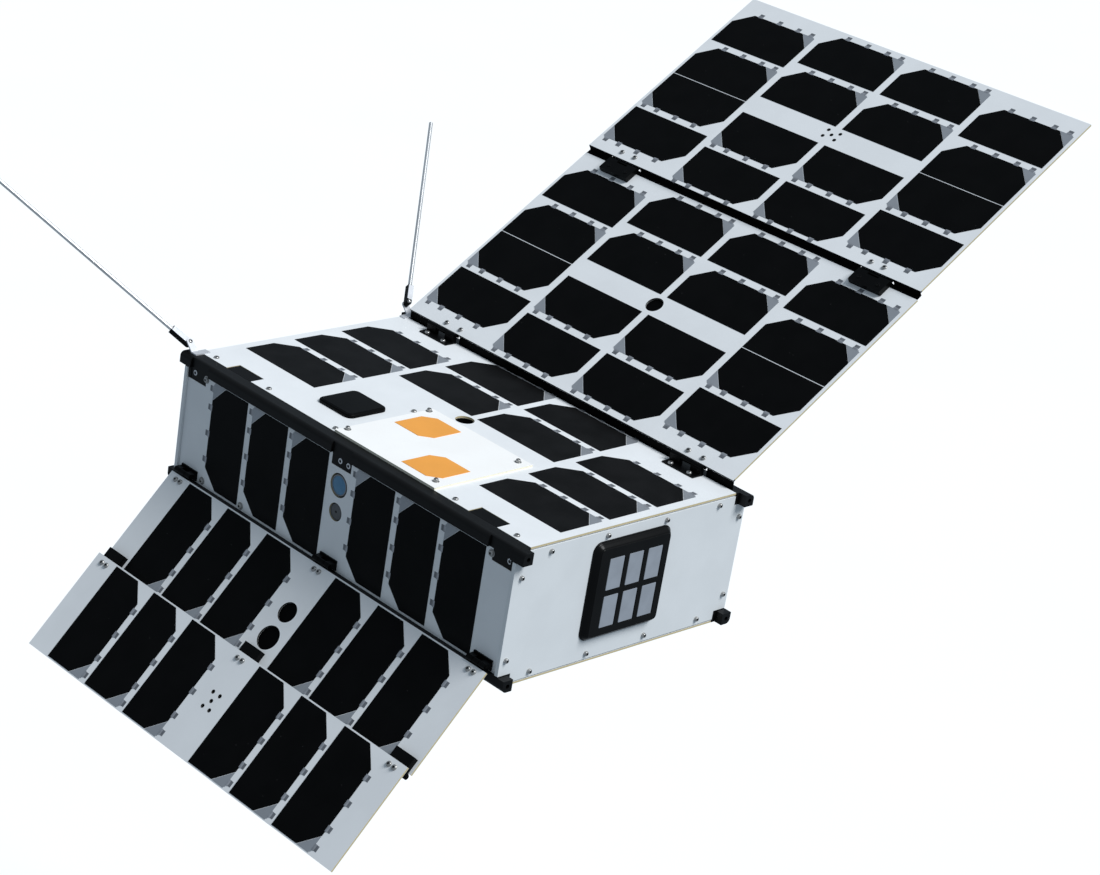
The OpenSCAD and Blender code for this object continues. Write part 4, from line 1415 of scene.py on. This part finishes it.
@dataclass
class Studio:
    """Pale floor, soft light from above and the camera that looks down on the front near corner.

    Angles are in degrees, the lens is in mm and every other length in metres.
    """

    floor_level: float = -1.0
    floor_radius: float = 30.0
    azimuth: float = 42.7268
    elevation: float = 22.2757
    roll: float = 9.5035
    eye: tuple[float, float, float] = (1.22515, -1.23313, 0.76017)
    lens: float = 87.226
    key_from: tuple[float, float, float] = (0.556, 0.232, 0.80)
    key_power: float = 3.15
    key_softness: float = 28.0
    key_colour: Colour = (0.965, 0.985, 1.0)
    key_distance: float = 2.4
    sky_colour: Colour = (0.71, 0.855, 1.0)
    sky_strength: float = 0.33

    def build(self) -> None:
        """Adds the floor, the lights, the world and the camera."""
        self.floor()
        self.lights()
        self.camera()

    def floor(self) -> None:
        """A large round disc far below: twelve rings of points at radius floor_radius*t^2."""
        radius = self.floor_radius * np.linspace(0, 1, 12) ** 2
        shape = Shape()
        shape.lathe([(float(r), 0.0) for r in radius], (0, 0, self.floor_level), 96)
        mesh = bpy.data.meshes.new("studio_floor")
        mesh.from_pydata(np.concatenate(shape.points).tolist(), [], shape.faces)
        mesh.materials.append(FLOOR_WHITE.material())
        disc = bpy.data.objects.new("studio_floor", mesh)
        bpy.context.scene.collection.objects.link(disc)
        disc.visible_diffuse = False
        disc.visible_glossy = False

    def lights(self) -> None:
        """One broad key light and an even, slightly blue sky."""
        away = np.array(self.key_from) / np.linalg.norm(self.key_from)
        lamp = bpy.data.lights.new("key", "SUN")
        lamp.angle = math.radians(self.key_softness)
        lamp.energy = self.key_power
        lamp.color = self.key_colour
        key = bpy.data.objects.new("key", lamp)
        bpy.context.scene.collection.objects.link(key)
        key.matrix_world = self.looking(away * self.key_distance, away)
        world = bpy.data.worlds.new("studio")
        world.use_nodes = True
        sky = world.node_tree.nodes["Background"]
        sky.inputs["Color"].default_value = rgba(self.sky_colour)
        sky.inputs["Strength"].default_value = self.sky_strength
        bpy.context.scene.world = world
        bpy.context.scene.view_settings.view_transform = "Standard"

    def looking(self, place: Array, back: Array, roll: float = 0.0) -> Matrix:
        """A matrix at a place whose -Z looks against back, turned by roll degrees.

        Args:
            place: where it stands.
            back: unit vector from the subject to it.
            roll: turn about its own line of sight.

        Returns:
            The world matrix.
        """
        right = np.cross((0.0, 0.0, 1.0), back)
        right /= np.linalg.norm(right)
        up = np.cross(back, right)
        c, s = math.cos(math.radians(roll)), math.sin(math.radians(roll))
        columns = np.array([c * right + s * up, -s * right + c * up, back, place]).T
        return Matrix([*columns.tolist(), [0, 0, 0, 1]])

    def camera(self) -> None:
        """The main camera, with no shift and no depth of field."""
        az, el = math.radians(self.azimuth), math.radians(self.elevation)
        back = np.array([math.sin(az) * math.cos(el), -math.cos(az) * math.cos(el), math.sin(el)])
        data = bpy.data.cameras.new("main_camera")
        data.lens = self.lens
        data.sensor_width = 36.0
        data.clip_start, data.clip_end = 0.05, 50.0
        made = bpy.data.objects.new("main_camera", data)
        bpy.context.scene.collection.objects.link(made)
        made.matrix_world = self.looking(np.array(self.eye), back, self.roll)
        bpy.context.scene.camera = made


def main() -> None:
    """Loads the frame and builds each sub-assembly in order."""
    logging.basicConfig(level=logging.INFO, format="%(message)s")
    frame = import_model()
    nodes = frame["nodes"]
    for part in (Rails(), TopFace(), EndFaces(), SideFaces(), UpperWing(), LowerWing(), Whips()):
        LOG.info("building %s", type(part).__name__)
        part.build(nodes)
    Studio().build()


if __name__ == "__main__":
    main()
